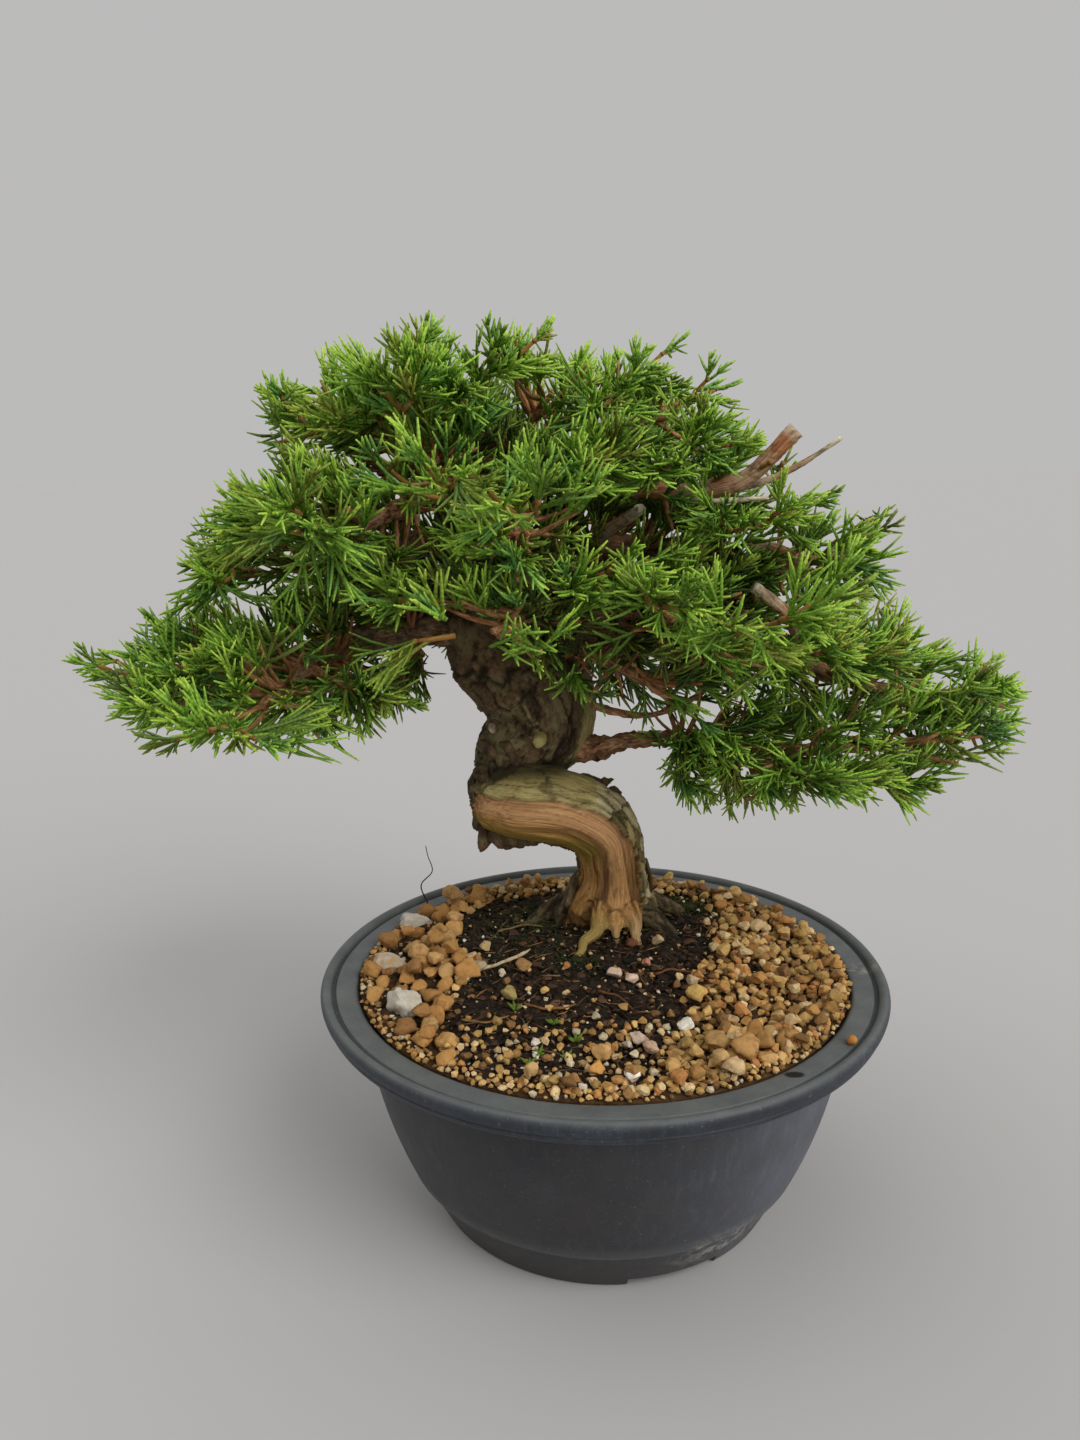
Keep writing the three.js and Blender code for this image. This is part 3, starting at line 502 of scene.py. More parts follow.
def ring_ways(along, sides):
    """Directions from a curve's points to the corners of its rings."""
    across, level = carried_frames(along)
    angle = np.arange(sides) * 2 * math.pi / sides
    return across[:, None] * np.cos(angle)[:, None] + level[:, None] * np.sin(angle)[:, None]


# Materials

def colour(red, green, blue):
    """Linear colour from the 0 to 255 values that a screen shows."""
    shown = np.array([red, green, blue]) / 255
    linear = np.where(shown <= 0.04045, shown / 12.92, ((shown + 0.055) / 1.055) ** 2.4)
    return (*linear, 1.0)


def tint_value(tint):
    """The same as three numbers for a mesh."""
    return np.array(colour(*tint)[:3])


class Finish:
    """A material and short ways to add its nodes."""

    def __init__(self, name, roughness=0.7):
        self.material = bpy.data.materials.new(name)
        self.material.use_nodes = True
        self.tree = self.material.node_tree
        self.surface = self.tree.nodes["Principled BSDF"]
        self.surface.inputs["Roughness"].default_value = roughness

    def put(self, target, source):
        """Links a socket, or sets a number or a colour: three numbers are a colour as a screen shows it."""
        if isinstance(source, bpy.types.NodeSocket):
            self.tree.links.new(source, target)
        elif isinstance(source, tuple) and len(source) == 3:
            target.default_value = colour(*source)
        else:
            target.default_value = source

    def attribute(self, name, output="Fac"):
        node = self.tree.nodes.new("ShaderNodeAttribute")
        node.attribute_name = name
        return node.outputs[output]

    def place(self):
        return self.tree.nodes.new("ShaderNodeTexCoord").outputs["Object"]

    def stretched(self, vector, scale):
        node = self.tree.nodes.new("ShaderNodeMapping")
        self.put(node.inputs["Vector"], vector)
        node.inputs["Scale"].default_value = scale
        return node.outputs["Vector"]

    def noise(self, vector, scale, detail=3, roughness=0.5, distortion=0.0):
        node = self.tree.nodes.new("ShaderNodeTexNoise")
        self.put(node.inputs["Vector"], vector)
        node.inputs["Scale"].default_value = scale
        node.inputs["Detail"].default_value = detail
        node.inputs["Roughness"].default_value = roughness
        node.inputs["Distortion"].default_value = distortion
        return node.outputs["Fac"]

    def distance(self, vector, point_mm, scale):
        """Millimetres from a point given in the pot's frame, in a stretched space."""
        node = self.tree.nodes.new("ShaderNodeVectorMath")
        node.operation = "DISTANCE"
        self.put(node.inputs[0], vector)
        node.inputs[1].default_value = (np.array(point_mm) + POT_AXIS) * MM * scale
        return self.times(node.outputs["Value"], 1 / MM)

    def math(self, operation, a, b=0.0):
        node = self.tree.nodes.new("ShaderNodeMath")
        node.operation = operation
        self.put(node.inputs[0], a)
        self.put(node.inputs[1], b)
        return node.outputs[0]

    def times(self, a, b):
        return self.math("MULTIPLY", a, b)

    def plus(self, a, b):
        return self.math("ADD", a, b)

    def range(self, value, low, high, to_low=0.0, to_high=1.0):
        node = self.tree.nodes.new("ShaderNodeMapRange")
        self.put(node.inputs["Value"], value)
        for key, number in (("From Min", low), ("From Max", high), ("To Min", to_low), ("To Max", to_high)):
            node.inputs[key].default_value = number
        return node.outputs["Result"]

    def ramp(self, value, *stops):
        node = self.tree.nodes.new("ShaderNodeValToRGB")
        self.put(node.inputs["Fac"], value)
        elements = node.color_ramp.elements
        while len(elements) < len(stops):
            elements.new(0.5)
        for element, (place, tint) in zip(elements, stops):
            element.position = place
            element.color = colour(*tint) if len(tint) == 3 else tint
        return node.outputs["Color"]

    def mix(self, factor, a, b, blend="MIX"):
        node = self.tree.nodes.new("ShaderNodeMix")
        node.data_type = "RGBA"
        node.blend_type = blend
        self.put(node.inputs["Factor"], factor)
        self.put([s for s in node.inputs if s.name == "A" and s.type == "RGBA"][0], a)
        self.put([s for s in node.inputs if s.name == "B" and s.type == "RGBA"][0], b)
        return [s for s in node.outputs if s.type == "RGBA"][0]

    def bump(self, height, strength, distance_mm):
        node = self.tree.nodes.new("ShaderNodeBump")
        node.inputs["Strength"].default_value = strength
        node.inputs["Distance"].default_value = distance_mm * MM
        self.put(node.inputs["Height"], height)
        self.put(self.surface.inputs["Normal"], node.outputs["Normal"])

    def done(self, tint, roughness=None, specular=None):
        self.put(self.surface.inputs["Base Color"], tint)
        if roughness is not None:
            self.put(self.surface.inputs["Roughness"], roughness)
        if specular is not None:
            self.surface.inputs["Specular IOR Level"].default_value = specular
        return self.material


def pot_finish():
    """Slate-grey moulded plastic, dusty on its upper faces, scuffed and streaked on its wall, and painted
    lighter on the wall's front-right as if lit from the right.
    """
    f = Finish("slate_plastic")
    place = f.place()
    cloud = f.noise(place, 42, 5, 0.7)
    base = f.ramp(cloud, (0.3, (31, 34, 40)), (0.5, (40, 44, 52)), (0.7, (54, 60, 70)))
    streak = f.noise(f.stretched(place, (420, 420, 34)), 1, 4, 0.7)
    # Scuffs and scratches gather on the front-right, the same part that gets painted light below
    lit_and_worn = f.plus(f.attribute("lit_and_worn"), f.range(f.noise(place, 17, 3), 0.42, 0.66, 0, 0.6))
    scuff = f.times(f.range(streak, 0.5, 0.68), lit_and_worn)
    base = f.mix(f.times(scuff, 0.28), base, (118, 128, 144))
    # Painted light: the wall's front-right is made lighter, as if lit from the right
    base = f.mix(f.times(f.attribute("lit_and_worn"), 0.62), base, (112, 120, 134))
    scratch = f.noise(f.stretched(place, (160, 160, 900)), 1, 3, 0.8, 1.5)
    base = f.mix(f.times(f.range(scratch, 0.66, 0.74), lit_and_worn), base, (126, 132, 140))
    speck = f.range(f.noise(place, 900, 2, 0.8), 0.64, 0.74)
    base = f.mix(f.times(speck, 0.4), base, (150, 150, 146))
    dust = f.attribute("dust")
    dusty = f.mix(f.noise(place, 90, 4, 0.7), (88, 93, 94), (120, 123, 120))
    base = f.mix(f.times(dust, f.range(f.noise(place, 60, 5, 0.7), 0.2, 0.75, 0.45, 1)), base, dusty)
    earth = f.times(f.attribute("earth"), f.range(f.noise(place, 46, 5, 0.7), 0.3, 0.7, 0.25, 1))
    base = f.mix(earth, base, (62, 56, 51))
    chalk = f.times(f.attribute("chalk"), f.range(f.noise(place, 260, 4, 0.75), 0.47, 0.66))
    base = f.mix(chalk, base, (176, 172, 160))
    # Painted shade: a dark spot for the small hole in the flange
    hole_shade = f.range(f.distance(f.stretched(place, (0.55, 1, 1)), FLANGE_HOLE, (0.55, 1, 1)), 2.1, 1.5)
    base = f.mix(hole_shade, base, (22, 24, 24))
    grit = f.noise(place, 700, 3, 0.7)
    f.bump(f.plus(grit, f.times(streak, 0.8)), 0.35, 0.25)
    return f.done(base, f.range(cloud, 0.3, 0.7, 0.42, 0.62), 0.4)


def screen_finish():
    """Black mesh plastic with a trace of mud."""
    f = Finish("screen_plastic", 0.6)
    mud = f.range(f.noise(f.place(), 260, 4, 0.7), 0.45, 0.7)
    f.bump(f.noise(f.place(), 900), 0.2, 0.2)
    return f.done(f.mix(mud, (28, 29, 30), (74, 58, 42)))


def humus_finish():
    """Dark damp humus between the granules, with tan dust near them."""
    f = Finish("humus", 0.95)
    place = f.place()
    fine = f.noise(place, 420, 5, 0.75)
    dark = f.ramp(fine, (0.3, (18, 15, 12)), (0.5, (42, 34, 26)), (0.66, (66, 50, 36)),
                  (0.8, (106, 84, 60)))
    tan = f.ramp(fine, (0.3, (46, 33, 21)), (0.6, (90, 64, 38)), (0.8, (136, 100, 60)))
    mossy = f.mix(f.attribute("moss"), dark, (40, 50, 22))
    f.bump(fine, 0.8, 1.2)
    return f.done(f.mix(f.attribute("humus"), tan, mossy), specular=0.2)


def grain_finish():
    """Fired clay granules, pumice and crumbs: each has its own tint, mottled and pitted."""
    f = Finish("granules", 0.95)
    place = f.place()
    mottle = f.noise(place, 600, 4, 0.7)
    tint = f.attribute("tint", "Vector")
    shade = f.ramp(mottle, (0.28, (0.62, 0.6, 0.58, 1)), (0.5, (1, 1, 1, 1)), (0.75, (1.0, 1.0, 1.0, 1)))
    stained = f.mix(f.range(f.noise(place, 190, 3), 0.56, 0.72, 0, 0.45), tint, (112, 72, 36))
    f.bump(f.noise(place, 1500, 3, 0.7), 0.5, 0.35)
    return f.done(f.mix(1.0, stained, shade, "MULTIPLY"), specular=0.15)


def stone_finish():
    """Pale limestone-like pebbles with tan stains."""
    f = Finish("pale_stone", 0.85)
    place = f.place()
    stain = f.range(f.noise(place, 160, 4, 0.6), 0.42, 0.7)
    grey = f.mix(f.noise(place, 420, 4, 0.7), (172, 163, 146), (226, 220, 206))
    f.bump(f.noise(place, 700, 5, 0.7), 0.5, 0.4)
    return f.done(f.mix(f.times(stain, f.attribute("stain")), grey, (186, 146, 92)), specular=0.3)


def trunk_finish():
    """Stripped wood in long grain, olive bark plates and rough dark bark, by the values on the mesh, which
    also paint light on the wood's top and front and on the upper trunk's right, and shadow in the crease
    and beside the bark's edge.
    """
    f = Finish("trunk_wood_and_bark", 0.85)
    grain = f.attribute("grain", "Vector")
    fibre = f.noise(f.stretched(grain, (1.3, 1.3, 0.05)), 1, 5, 0.68, 0.35)
    broad = f.noise(f.stretched(grain, (0.22, 0.22, 0.02)), 1, 3, 0.5)
    wood = f.ramp(fibre, (0.26, (104, 68, 34)), (0.42, (156, 112, 61)), (0.56, (194, 149, 89)),
                  (0.74, (222, 184, 126)))
    wood = f.mix(f.range(broad, 0.42, 0.66, 0, 0.5), wood, (166, 118, 58))
    # Pink tint of the wood, partly painted light: lighter on the level part's top and the upright part's
    # front
    blush = f.times(f.attribute("blush"), f.range(fibre, 0.3, 0.6, 0.1, 0.6))
    wood = f.mix(blush, wood, (228, 178, 134))
    algae = f.times(f.attribute("green"), f.range(fibre, 0.3, 0.7, 0.95, 0.4))
    wood = f.mix(algae, wood, (134, 124, 42))
    low = f.attribute("low")
    # Darker in grooves and cracks; low also holds painted shadow beside the bark's edge
    wood = f.mix(f.times(low, 0.92), wood, (62, 38, 20))
    patch = f.noise(f.stretched(grain, (0.5, 0.5, 0.26)), 1, 5, 0.72)
    strip = f.attribute("strip")
    plate = f.ramp(strip, (0.0, (224, 211, 172)), (0.3, (216, 202, 142)), (0.65, (194, 178, 114)),
                   (1.0, (104, 88, 58)))
    plate = f.mix(1.0, plate, f.ramp(patch, (0.32, (0.42, 0.38, 0.32, 1)), (0.5, (0.86, 0.84, 0.8, 1)),
                                     (0.68, (1, 1, 1, 1))), "MULTIPLY")
    streak = f.noise(f.stretched(grain, (1.6, 1.6, 0.3)), 1, 4, 0.75)
    plate = f.mix(f.range(streak, 0.5, 0.34, 0, 0.55), plate, (98, 84, 52))
    plate = f.mix(f.range(streak, 0.58, 0.7, 0, 0.4), plate, (216, 204, 158))
    rough = f.ramp(patch, (0.3, (56, 46, 33)), (0.46, (102, 86, 60)), (0.58, (144, 126, 90)),
                   (0.72, (188, 170, 130)))
    rough = f.mix(f.range(strip, 0.55, 0.8, 0, 0.45), rough, (104, 78, 54))
    rough = f.mix(f.range(strip, 0.35, 0.1, 0, 0.55), rough, (124, 118, 84))
    rough = f.mix(f.range(f.noise(grain, 0.075, 3), 0.42, 0.6, 0, 0.6), rough, (66, 54, 39))
    rough = f.mix(f.range(f.noise(grain, 0.12, 3), 0.54, 0.66, 0, 0.55), rough, (146, 140, 98))
    # olive also holds the upper trunk's smooth right strip, painted lighter as if lit from the right
    bark = f.mix(f.attribute("olive"), rough, plate)
    red = f.times(f.attribute("red"), f.range(patch, 0.36, 0.6))
    bark = f.mix(f.times(red, 0.7), bark, (112, 78, 56))
    bark = f.mix(f.times(low, 0.9), bark, (32, 26, 19))
    edge = f.plus(f.attribute("bark"), f.times(f.math("SUBTRACT", patch, 0.5), 0.4))
    tint = f.mix(f.range(edge, 0.45, 0.55), wood, bark)
    bare = f.ramp(fibre, (0.3, (166, 142, 92)), (0.7, (220, 200, 150)))
    tint = f.mix(f.attribute("pale"), tint, bare)
    fine = f.noise(f.stretched(grain, (2.8, 2.8, 0.4)), 1, 4, 0.7)
    f.bump(f.plus(f.times(fibre, 1.3), f.times(fine, 0.7)), 0.8, 0.6)
    return f.done(tint, specular=0.2)


def bough_finish():
    """Grey to reddish-brown flaking bark on boughs and twigs, green where a twig is young."""
    f = Finish("bough_bark", 0.85)
    grain = f.attribute("grain", "Vector")
    flake = f.noise(f.stretched(grain, (1.1, 1.1, 0.3)), 1, 4, 0.7)
    strip = f.attribute("strip")
    grey = f.ramp(flake, (0.3, (66, 56, 42)), (0.5, (116, 102, 78)), (0.72, (160, 144, 114)))
    red = f.ramp(flake, (0.3, (84, 50, 34)), (0.45, (168, 106, 70)), (0.66, (228, 178, 136)))
    share = f.plus(f.attribute("red"), f.range(strip, 0, 1, -0.35, 0.35))
    bark = f.mix(f.range(share, 0, 1), grey, red)
    bark = f.mix(f.times(f.attribute("low"), 0.6), bark, (48, 32, 24))
    young = f.mix(flake, (168, 92, 42), (112, 118, 40))
    f.bump(f.noise(f.stretched(grain, (2.5, 2.5, 0.8)), 1, 4, 0.7), 0.7, 0.4)
    return f.done(f.mix(f.attribute("young"), bark, young), specular=0.2)


def deadwood_finish():
    """Dead wood: brown where bark is left, bleached where it is bare, yellow-green where lichen grows."""
    f = Finish("dead_wood", 0.85)
    grain = f.attribute("grain", "Vector")
    fibre = f.noise(f.stretched(grain, (1.8, 1.8, 0.12)), 1, 5, 0.65)
    brown = f.ramp(fibre, (0.3, (108, 62, 40)), (0.5, (172, 112, 74)), (0.72, (216, 166, 122)))
    bleached = f.ramp(fibre, (0.3, (170, 148, 116)), (0.5, (222, 206, 178)), (0.72, (244, 238, 222)))
    wood = f.mix(f.attribute("pale"), brown, bleached)
    wood = f.mix(f.times(f.attribute("low"), 0.7), wood, (84, 56, 38))
    f.bump(fibre, 0.6, 0.4)
    return f.done(f.mix(f.attribute("lichen"), wood, (166, 156, 74)), specular=0.2)


def foliage_finish():
    """Scale leaves: lime at the growing tips, deep green or olive within, and brown where they are old."""
    f = Finish("foliage", 0.6)
    tip, tone, hue = f.attribute("tip"), f.attribute("tone"), f.attribute("hue")
    fresh = f.ramp(tone, (0.0, (81, 97, 44)), (0.3, (97, 132, 45)), (0.7, (128, 173, 57)),
                   (1.0, (160, 202, 72)))
    olive = f.ramp(tone, (0.0, (109, 103, 56)), (0.3, (127, 132, 60)), (0.7, (155, 164, 70)),
                   (1.0, (176, 184, 84)))
    cold = f.ramp(tone, (0.0, (73, 96, 53)), (0.3, (85, 127, 61)), (0.7, (110, 163, 76)),
                  (1.0, (138, 188, 92)))
    body = f.mix(f.range(hue, 0.64, 0.94), fresh, olive)
    body = f.mix(f.range(hue, 0.28, 0.05), body, cold)
    lime = f.ramp(tone, (0.0, (138, 178, 62)), (0.5, (174, 216, 72)), (1.0, (208, 238, 96)))
    tint = f.mix(f.range(tip, 0.55, 1.0), body, lime)
    tint = f.mix(f.attribute("old"), tint, (132, 86, 40))
    leaf = f.math("SINE", f.times(f.attribute("run"), 4.2))
    tint = f.mix(f.range(leaf, -1, 1, 0.2, 0), tint, (18, 36, 8))
    f.bump(leaf, 0.3, 0.2)
    return f.done(tint, specular=0.22)


def moss_finish():
    """Moss cushions, dark at the foot and yellow-green at the top."""
    f = Finish("moss", 0.9)
    return f.done(f.ramp(f.attribute("tip"), (0, (24, 34, 14)), (0.6, (52, 74, 24)),
                         (1, (96, 116, 42))), specular=0.2)


def fibre_finish():
    """Rootlets and fallen bits, each in its own tint."""
    f = Finish("rootlets", 0.85)
    mottle = f.noise(f.place(), 500, 3, 0.6)
    shade = f.ramp(mottle, (0.3, (0.55, 0.52, 0.5, 1)), (0.6, (1, 1, 1, 1)))
    return f.done(f.mix(1.0, f.attribute("tint", "Vector"), shade, "MULTIPLY"), specular=0.2)


# Pot

def rounded(corners, steps=4):
    """Outline points from corners of radius, height and rounding, with each rounded corner as an arc."""
    outline = []
    for i, (x, z, round_off) in enumerate(corners):
        here = np.array([x, z], float)
        if round_off == 0 or i in (0, len(corners) - 1):
            outline.append(here)
            continue
        before = np.array(corners[i - 1][:2], float) - here
        after = np.array(corners[i + 1][:2], float) - here
        start = here + unit(before) * min(round_off, np.linalg.norm(before) * 0.49)
        end = here + unit(after) * min(round_off, np.linalg.norm(after) * 0.49)
        for t in np.linspace(0, 1, steps + 1):
            outline.append((1 - t) ** 2 * start + 2 * t * (1 - t) * here + t ** 2 * end)
    return np.array(outline)


def wall_radius(height):
    """Outer radius of the pot's wall between the step and the lip."""
    s = (height - STEP_HEIGHT) / (LIP_BOTTOM - STEP_HEIGHT)
    return STEP_RADIUS + (WALL_TOP_RADIUS - STEP_RADIUS) * s + WALL_BULGE * 4 * s * (1 - s)


def foot_radius(height):
    """Outer radius of the foot's cone."""
    return FOOT_RADIUS + (STEP_RADIUS - LEDGE - FOOT_RADIUS) * height / (STEP_HEIGHT - 1.5)


def pot_outline():
    """The moulding's outline from the drain hole, under the foot, up the outside and down the inside."""
    wall = [(wall_radius(h), h, 0) for h in np.linspace(STEP_HEIGHT + 1.5, LIP_BOTTOM - 1.5, 14)]
    inner = [(wall_radius(h) - WALL, h, 0) for h in np.linspace(LIP_BOTTOM, STEP_HEIGHT + 4, 8)]
    bead = RIM_RADIUS - BEAD_WIDTH
    corners = [
        (DRAIN_RADIUS, FLOOR_UNDERSIDE, 0),
        (FOOT_RADIUS - FOOT_RING_WIDTH, FLOOR_UNDERSIDE, 1),
        (FOOT_RADIUS - FOOT_RING_WIDTH, 0, 0.6),
        (FOOT_RADIUS, 0, 0.8),
        (foot_radius(NOTCH_HEIGHT), NOTCH_HEIGHT, 0),
        (foot_radius(10), 10, 0),
        (STEP_RADIUS - LEDGE, STEP_HEIGHT - 1.5, 0.8),
        (STEP_RADIUS - 0.2, STEP_HEIGHT - 0.6, 0.7),
        *wall,
        (WALL_TOP_RADIUS, LIP_BOTTOM, 1.2),
        (LIP_RADIUS, LIP_BOTTOM, 1.1),
        (LIP_RADIUS + 0.9, LIP_BOTTOM + 2.2, 0.4),
        (LIP_RADIUS + 0.5, LIP_BOTTOM + 2.7, 0.2),
        (RIM_RADIUS - 0.7, LIP_BOTTOM + 3.3, 0.4),
        (RIM_RADIUS, RIM_TOP - 2.2, 1.2),
        (RIM_RADIUS - 1.0, RIM_TOP - 0.1, 1.4),
        (bead + 1.4, RIM_TOP, 1.2),
        (bead + 0.2, RIM_TOP - 1.0, 0.5),
        (bead - 0.2, RIM_TOP - FLANGE_DROP - 0.9, 0.3),
        (bead - 1.3, RIM_TOP - FLANGE_DROP - 0.8, 0.3),
        (bead - 1.7, RIM_TOP - FLANGE_DROP, 0.4),
        (OPENING_RADIUS + 1.2, RIM_TOP - FLANGE_DROP, 1.0),
        (OPENING_RADIUS, RIM_TOP - FLANGE_DROP - 1.2, 0.6),
        *inner,
        (FOOT_RADIUS - 6, FLOOR_TOP, 3),
        (DRAIN_RADIUS, FLOOR_TOP, 0),
    ]
    return rounded(corners)


def lathe_angles(count, breaks):
    """Even angles, with a close pair at each break."""
    even = np.linspace(-180, 180, count, endpoint=False)
    pairs = [((b + d + 180) % 360) - 180 for b in breaks for d in (-0.06, 0.06)]
    clear = [a for a in even if all(abs((a - b + 180) % 360 - 180) > 0.5 for b in breaks)]
    return np.array(sorted(clear + pairs))


def add_pot():
    outline = pot_outline()
    breaks = [m + side * NOTCH_SPAN / 2 for m in NOTCH_ANGLES for side in (-1, 1)]
    degrees = lathe_angles(POT_TURNS, breaks)
    angle = np.radians(degrees)[:, None]
    in_notch = np.zeros(len(degrees), bool)
    for middle in NOTCH_ANGLES:
        in_notch |= np.abs((degrees - middle + 180) % 360 - 180) < NOTCH_SPAN / 2
    radius = np.tile(outline[:, 0], (len(degrees), 1))
    height = np.tile(outline[:, 1], (len(degrees), 1))
    lifted = in_notch[:, None] & (height < NOTCH_HEIGHT)
    outside = lifted & (radius > FOOT_RADIUS - FOOT_RING_WIDTH / 2)
    radius = np.where(outside, foot_radius(NOTCH_HEIGHT), radius)
    height = np.where(lifted, NOTCH_HEIGHT, height)
    ring = np.stack([np.cos(angle) * radius, np.sin(angle) * radius, height], -1)
    wobble = noise(ring * 0.03, 3)[..., None] * 0.25
    radial = np.concatenate([np.cos(angle), np.sin(angle), np.zeros_like(angle)], 1)[:, None]
    points = ring + wobble * radial * (height[..., None] > STEP_HEIGHT)
    turns, count = radius.shape
    a, b = np.meshgrid(np.arange(turns), np.arange(count), indexing="ij")
    after, on = (a + 1) % turns, (b + 1) % count
    quads = np.stack([a * count + b, after * count + b, after * count + on, a * count + on], -1)
    flat = points.reshape(-1, 3)
    across, up = np.hypot(flat[:, 0], flat[:, 1]), flat[:, 2]
    bearing = np.degrees(np.arctan2(flat[:, 1], flat[:, 0]))
    dust = smoothstep(RIM_TOP - 2.6, RIM_TOP - 1.9, up) * smoothstep(RIM_RADIUS, RIM_RADIUS - 1.6, across)
    dust += smoothstep(22, 19.4, up) * (up > 18.6) * 0.7
    earth = smoothstep(20, 12, up) * 0.5 + 0.6 * smoothstep(OPENING_RADIUS + 0.6, OPENING_RADIUS, across)
    stain = peak(bearing, *WALL_STAIN) * smoothstep(5, 12, up) * smoothstep(23, 17, up)
    # Front-right of the wall: where scuffs gather and where light is painted on
    lit_and_worn = peak(bearing, *LIT_AND_WORN_SIDE) * (up < LIP_BOTTOM + 1)
    spot = peak(bearing, *FLANGE_SPOT) * smoothstep(RIM_TOP - 3, RIM_TOP - 2, up)
    shape = piece("pot_moulding", flat, [quads.reshape(-1, 4)], pot_finish(), ["pot"],
                  {"dust": np.clip(dust, 0, 1), "earth": np.clip(earth, 0, 1),
                   "chalk": np.clip(stain + 0.7 * spot, 0, 1), "lit_and_worn": np.clip(lit_and_worn, 0, 1)})
    sharpen(shape, 40)


def sharpen(thing, degrees):
    """Marks edges that turn more than an angle as sharp, and the rest stay smooth."""
    thing.data.set_sharp_from_angle(angle=math.radians(degrees))


# Soil

def mound_height(x, y):
    """Height of the soil's smooth mound."""
    s = np.minimum(1, np.hypot(x, y) / OPENING_RADIUS)
    return SOIL_EDGE_HEIGHT + SOIL_CROWN * (1 - s * s)


def bed_height(x, y):
    """Height of the bed under the granules, which are heaped a little against the rim."""
    return mound_height(x, y) - 0.9 + EDGE_HEAP * smoothstep(70, 88, np.hypot(x, y))


def humus_share(x, y):
    """1 in the dark middle of the soil, 0 among the granules round it."""
    place = np.stack([np.asarray(x, float) * 0.06, np.asarray(y, float) * 0.06, np.zeros(np.shape(x))], -1)
    ragged = 7 * fractal(place, 3, 41)
    left_edge = HUMUS_LEFT + 10 * peak(y, -14, 15) + 7 * smoothstep(-42, -58, y)
    left = smoothstep(left_edge - 4, left_edge + 4, x + 0.7 * ragged)
    right_edge = HUMUS_RIGHT - 0.16 * np.maximum(0, 60 - y) - 0.14 * np.maximum(0, 10 - y)
    right = smoothstep(right_edge + 5, right_edge - 5, x + ragged)
    front = smoothstep(*HUMUS_FRONT, y + 0.5 * ragged)
    back = np.where(np.asarray(y) > 0, smoothstep(*HUMUS_BACK, np.hypot(x, y) + ragged * 0.5), 1)
    return np.maximum(left * right * front * back, smoothstep(0.3, 0.8, patches(x, y, HUMUS_POCKETS)))


def moss_share(x, y):
    """1 in the damp mossy patch behind and right of the trunk."""
    return np.clip(patches(x, y, MOSS_PATCHES), 0, 1)


def add_soil_bed():
    """The bed under the granules: the humus surface, and plain sides and bottom inside the pot."""
    turns = BED_TURNS
    radii = np.concatenate([[0.6], np.linspace(2, OPENING_RADIUS - 0.5, BED_RINGS - 1)])
    angle = np.linspace(0, 2 * math.pi, turns, endpoint=False)
    x = np.cos(angle)[:, None] * radii
    y = np.sin(angle)[:, None] * radii
    place = np.stack([x, y, np.zeros_like(x)], -1)
    clods = fractal(place * 0.2, 3, 5) * 2.1 + fractal(place * 0.8, 2, 9) * 0.8
    top = bed_height(x, y) + clods * smoothstep(OPENING_RADIUS, OPENING_RADIUS - 6, radii)
    profile = [(wall_radius(h) - WALL - 0.4, h) for h in (LIP_BOTTOM - 1, 60, 40, STEP_HEIGHT + 4)]
    profile += [(FOOT_RADIUS - 6.4, FLOOR_TOP + 2.2), (24, FLOOR_TOP + 2.2), (0.6, FLOOR_TOP + 2.2)]
    side_x = np.cos(angle)[:, None] * [r for r, _ in profile]
    side_y = np.sin(angle)[:, None] * [r for r, _ in profile]
    side_z = np.tile([h for _, h in profile], (turns, 1))
    points = np.stack([np.hstack([x, side_x]), np.hstack([y, side_y]), np.hstack([top, side_z])], -1)
    count = points.shape[1]
    a, b = np.meshgrid(np.arange(turns), np.arange(count - 1), indexing="ij")
    after = (a + 1) % turns
    quads = np.stack([a * count + b, a * count + b + 1, after * count + b + 1, after * count + b], -1)
    centre = [np.arange(turns)[None] * count, (np.arange(turns)[::-1] * count + count - 1)[None]]
    flat = points.reshape(-1, 3)
    x, y = flat[:, 0], flat[:, 1]
    moss = np.clip(moss_share(x, y) + patches(x, y, DAMP_PATCHES), 0, 1)
    piece("soil_bed", flat, [quads.reshape(-1, 4), *centre], humus_finish(), ["soil"],
          {"humus": humus_share(x, y) * smoothstep(89, 85, np.hypot(x, y)), "moss": moss * 0.7})


def lump(detail, seed):
    """Points and triangles of one rough lump about 1 across in radius."""
    shape = bmesh.new()
    bmesh.ops.create_icosphere(shape, subdivisions=detail, radius=1)
    points = np.array([v.co for v in shape.verts])
    faces = np.array([[v.index for v in f.verts] for f in shape.faces])
    shape.free()
    random = np.random.default_rng(seed)
    for _ in range(8):
        cut = unit(random.normal(size=3))
        over = points @ cut - random.uniform(0.45, 0.8)
        points -= np.maximum(over, 0)[:, None] * cut * 0.9
    shift = seed * 1.7
    rough = 0.22 * fractal(points * 1.5 + shift, 2, seed) + 0.2 * fractal(points * 4.0 + shift, 2, seed + 1)
    return points * (1.08 + rough)[:, None], faces


def spin(random, count):
    """Random turns as matrices."""
    q = unit(random.normal(size=(count, 4)))
    w, x, y, z = q.T
    return np.stack([
        np.stack([1 - 2 * (y * y + z * z), 2 * (x * y - z * w), 2 * (x * z + y * w)], -1),
        np.stack([2 * (x * y + z * w), 1 - 2 * (x * x + z * z), 2 * (y * z - x * w)], -1),
        np.stack([2 * (x * z - y * w), 2 * (y * z + x * w), 1 - 2 * (x * x + y * y)], -1),
    ], 1)


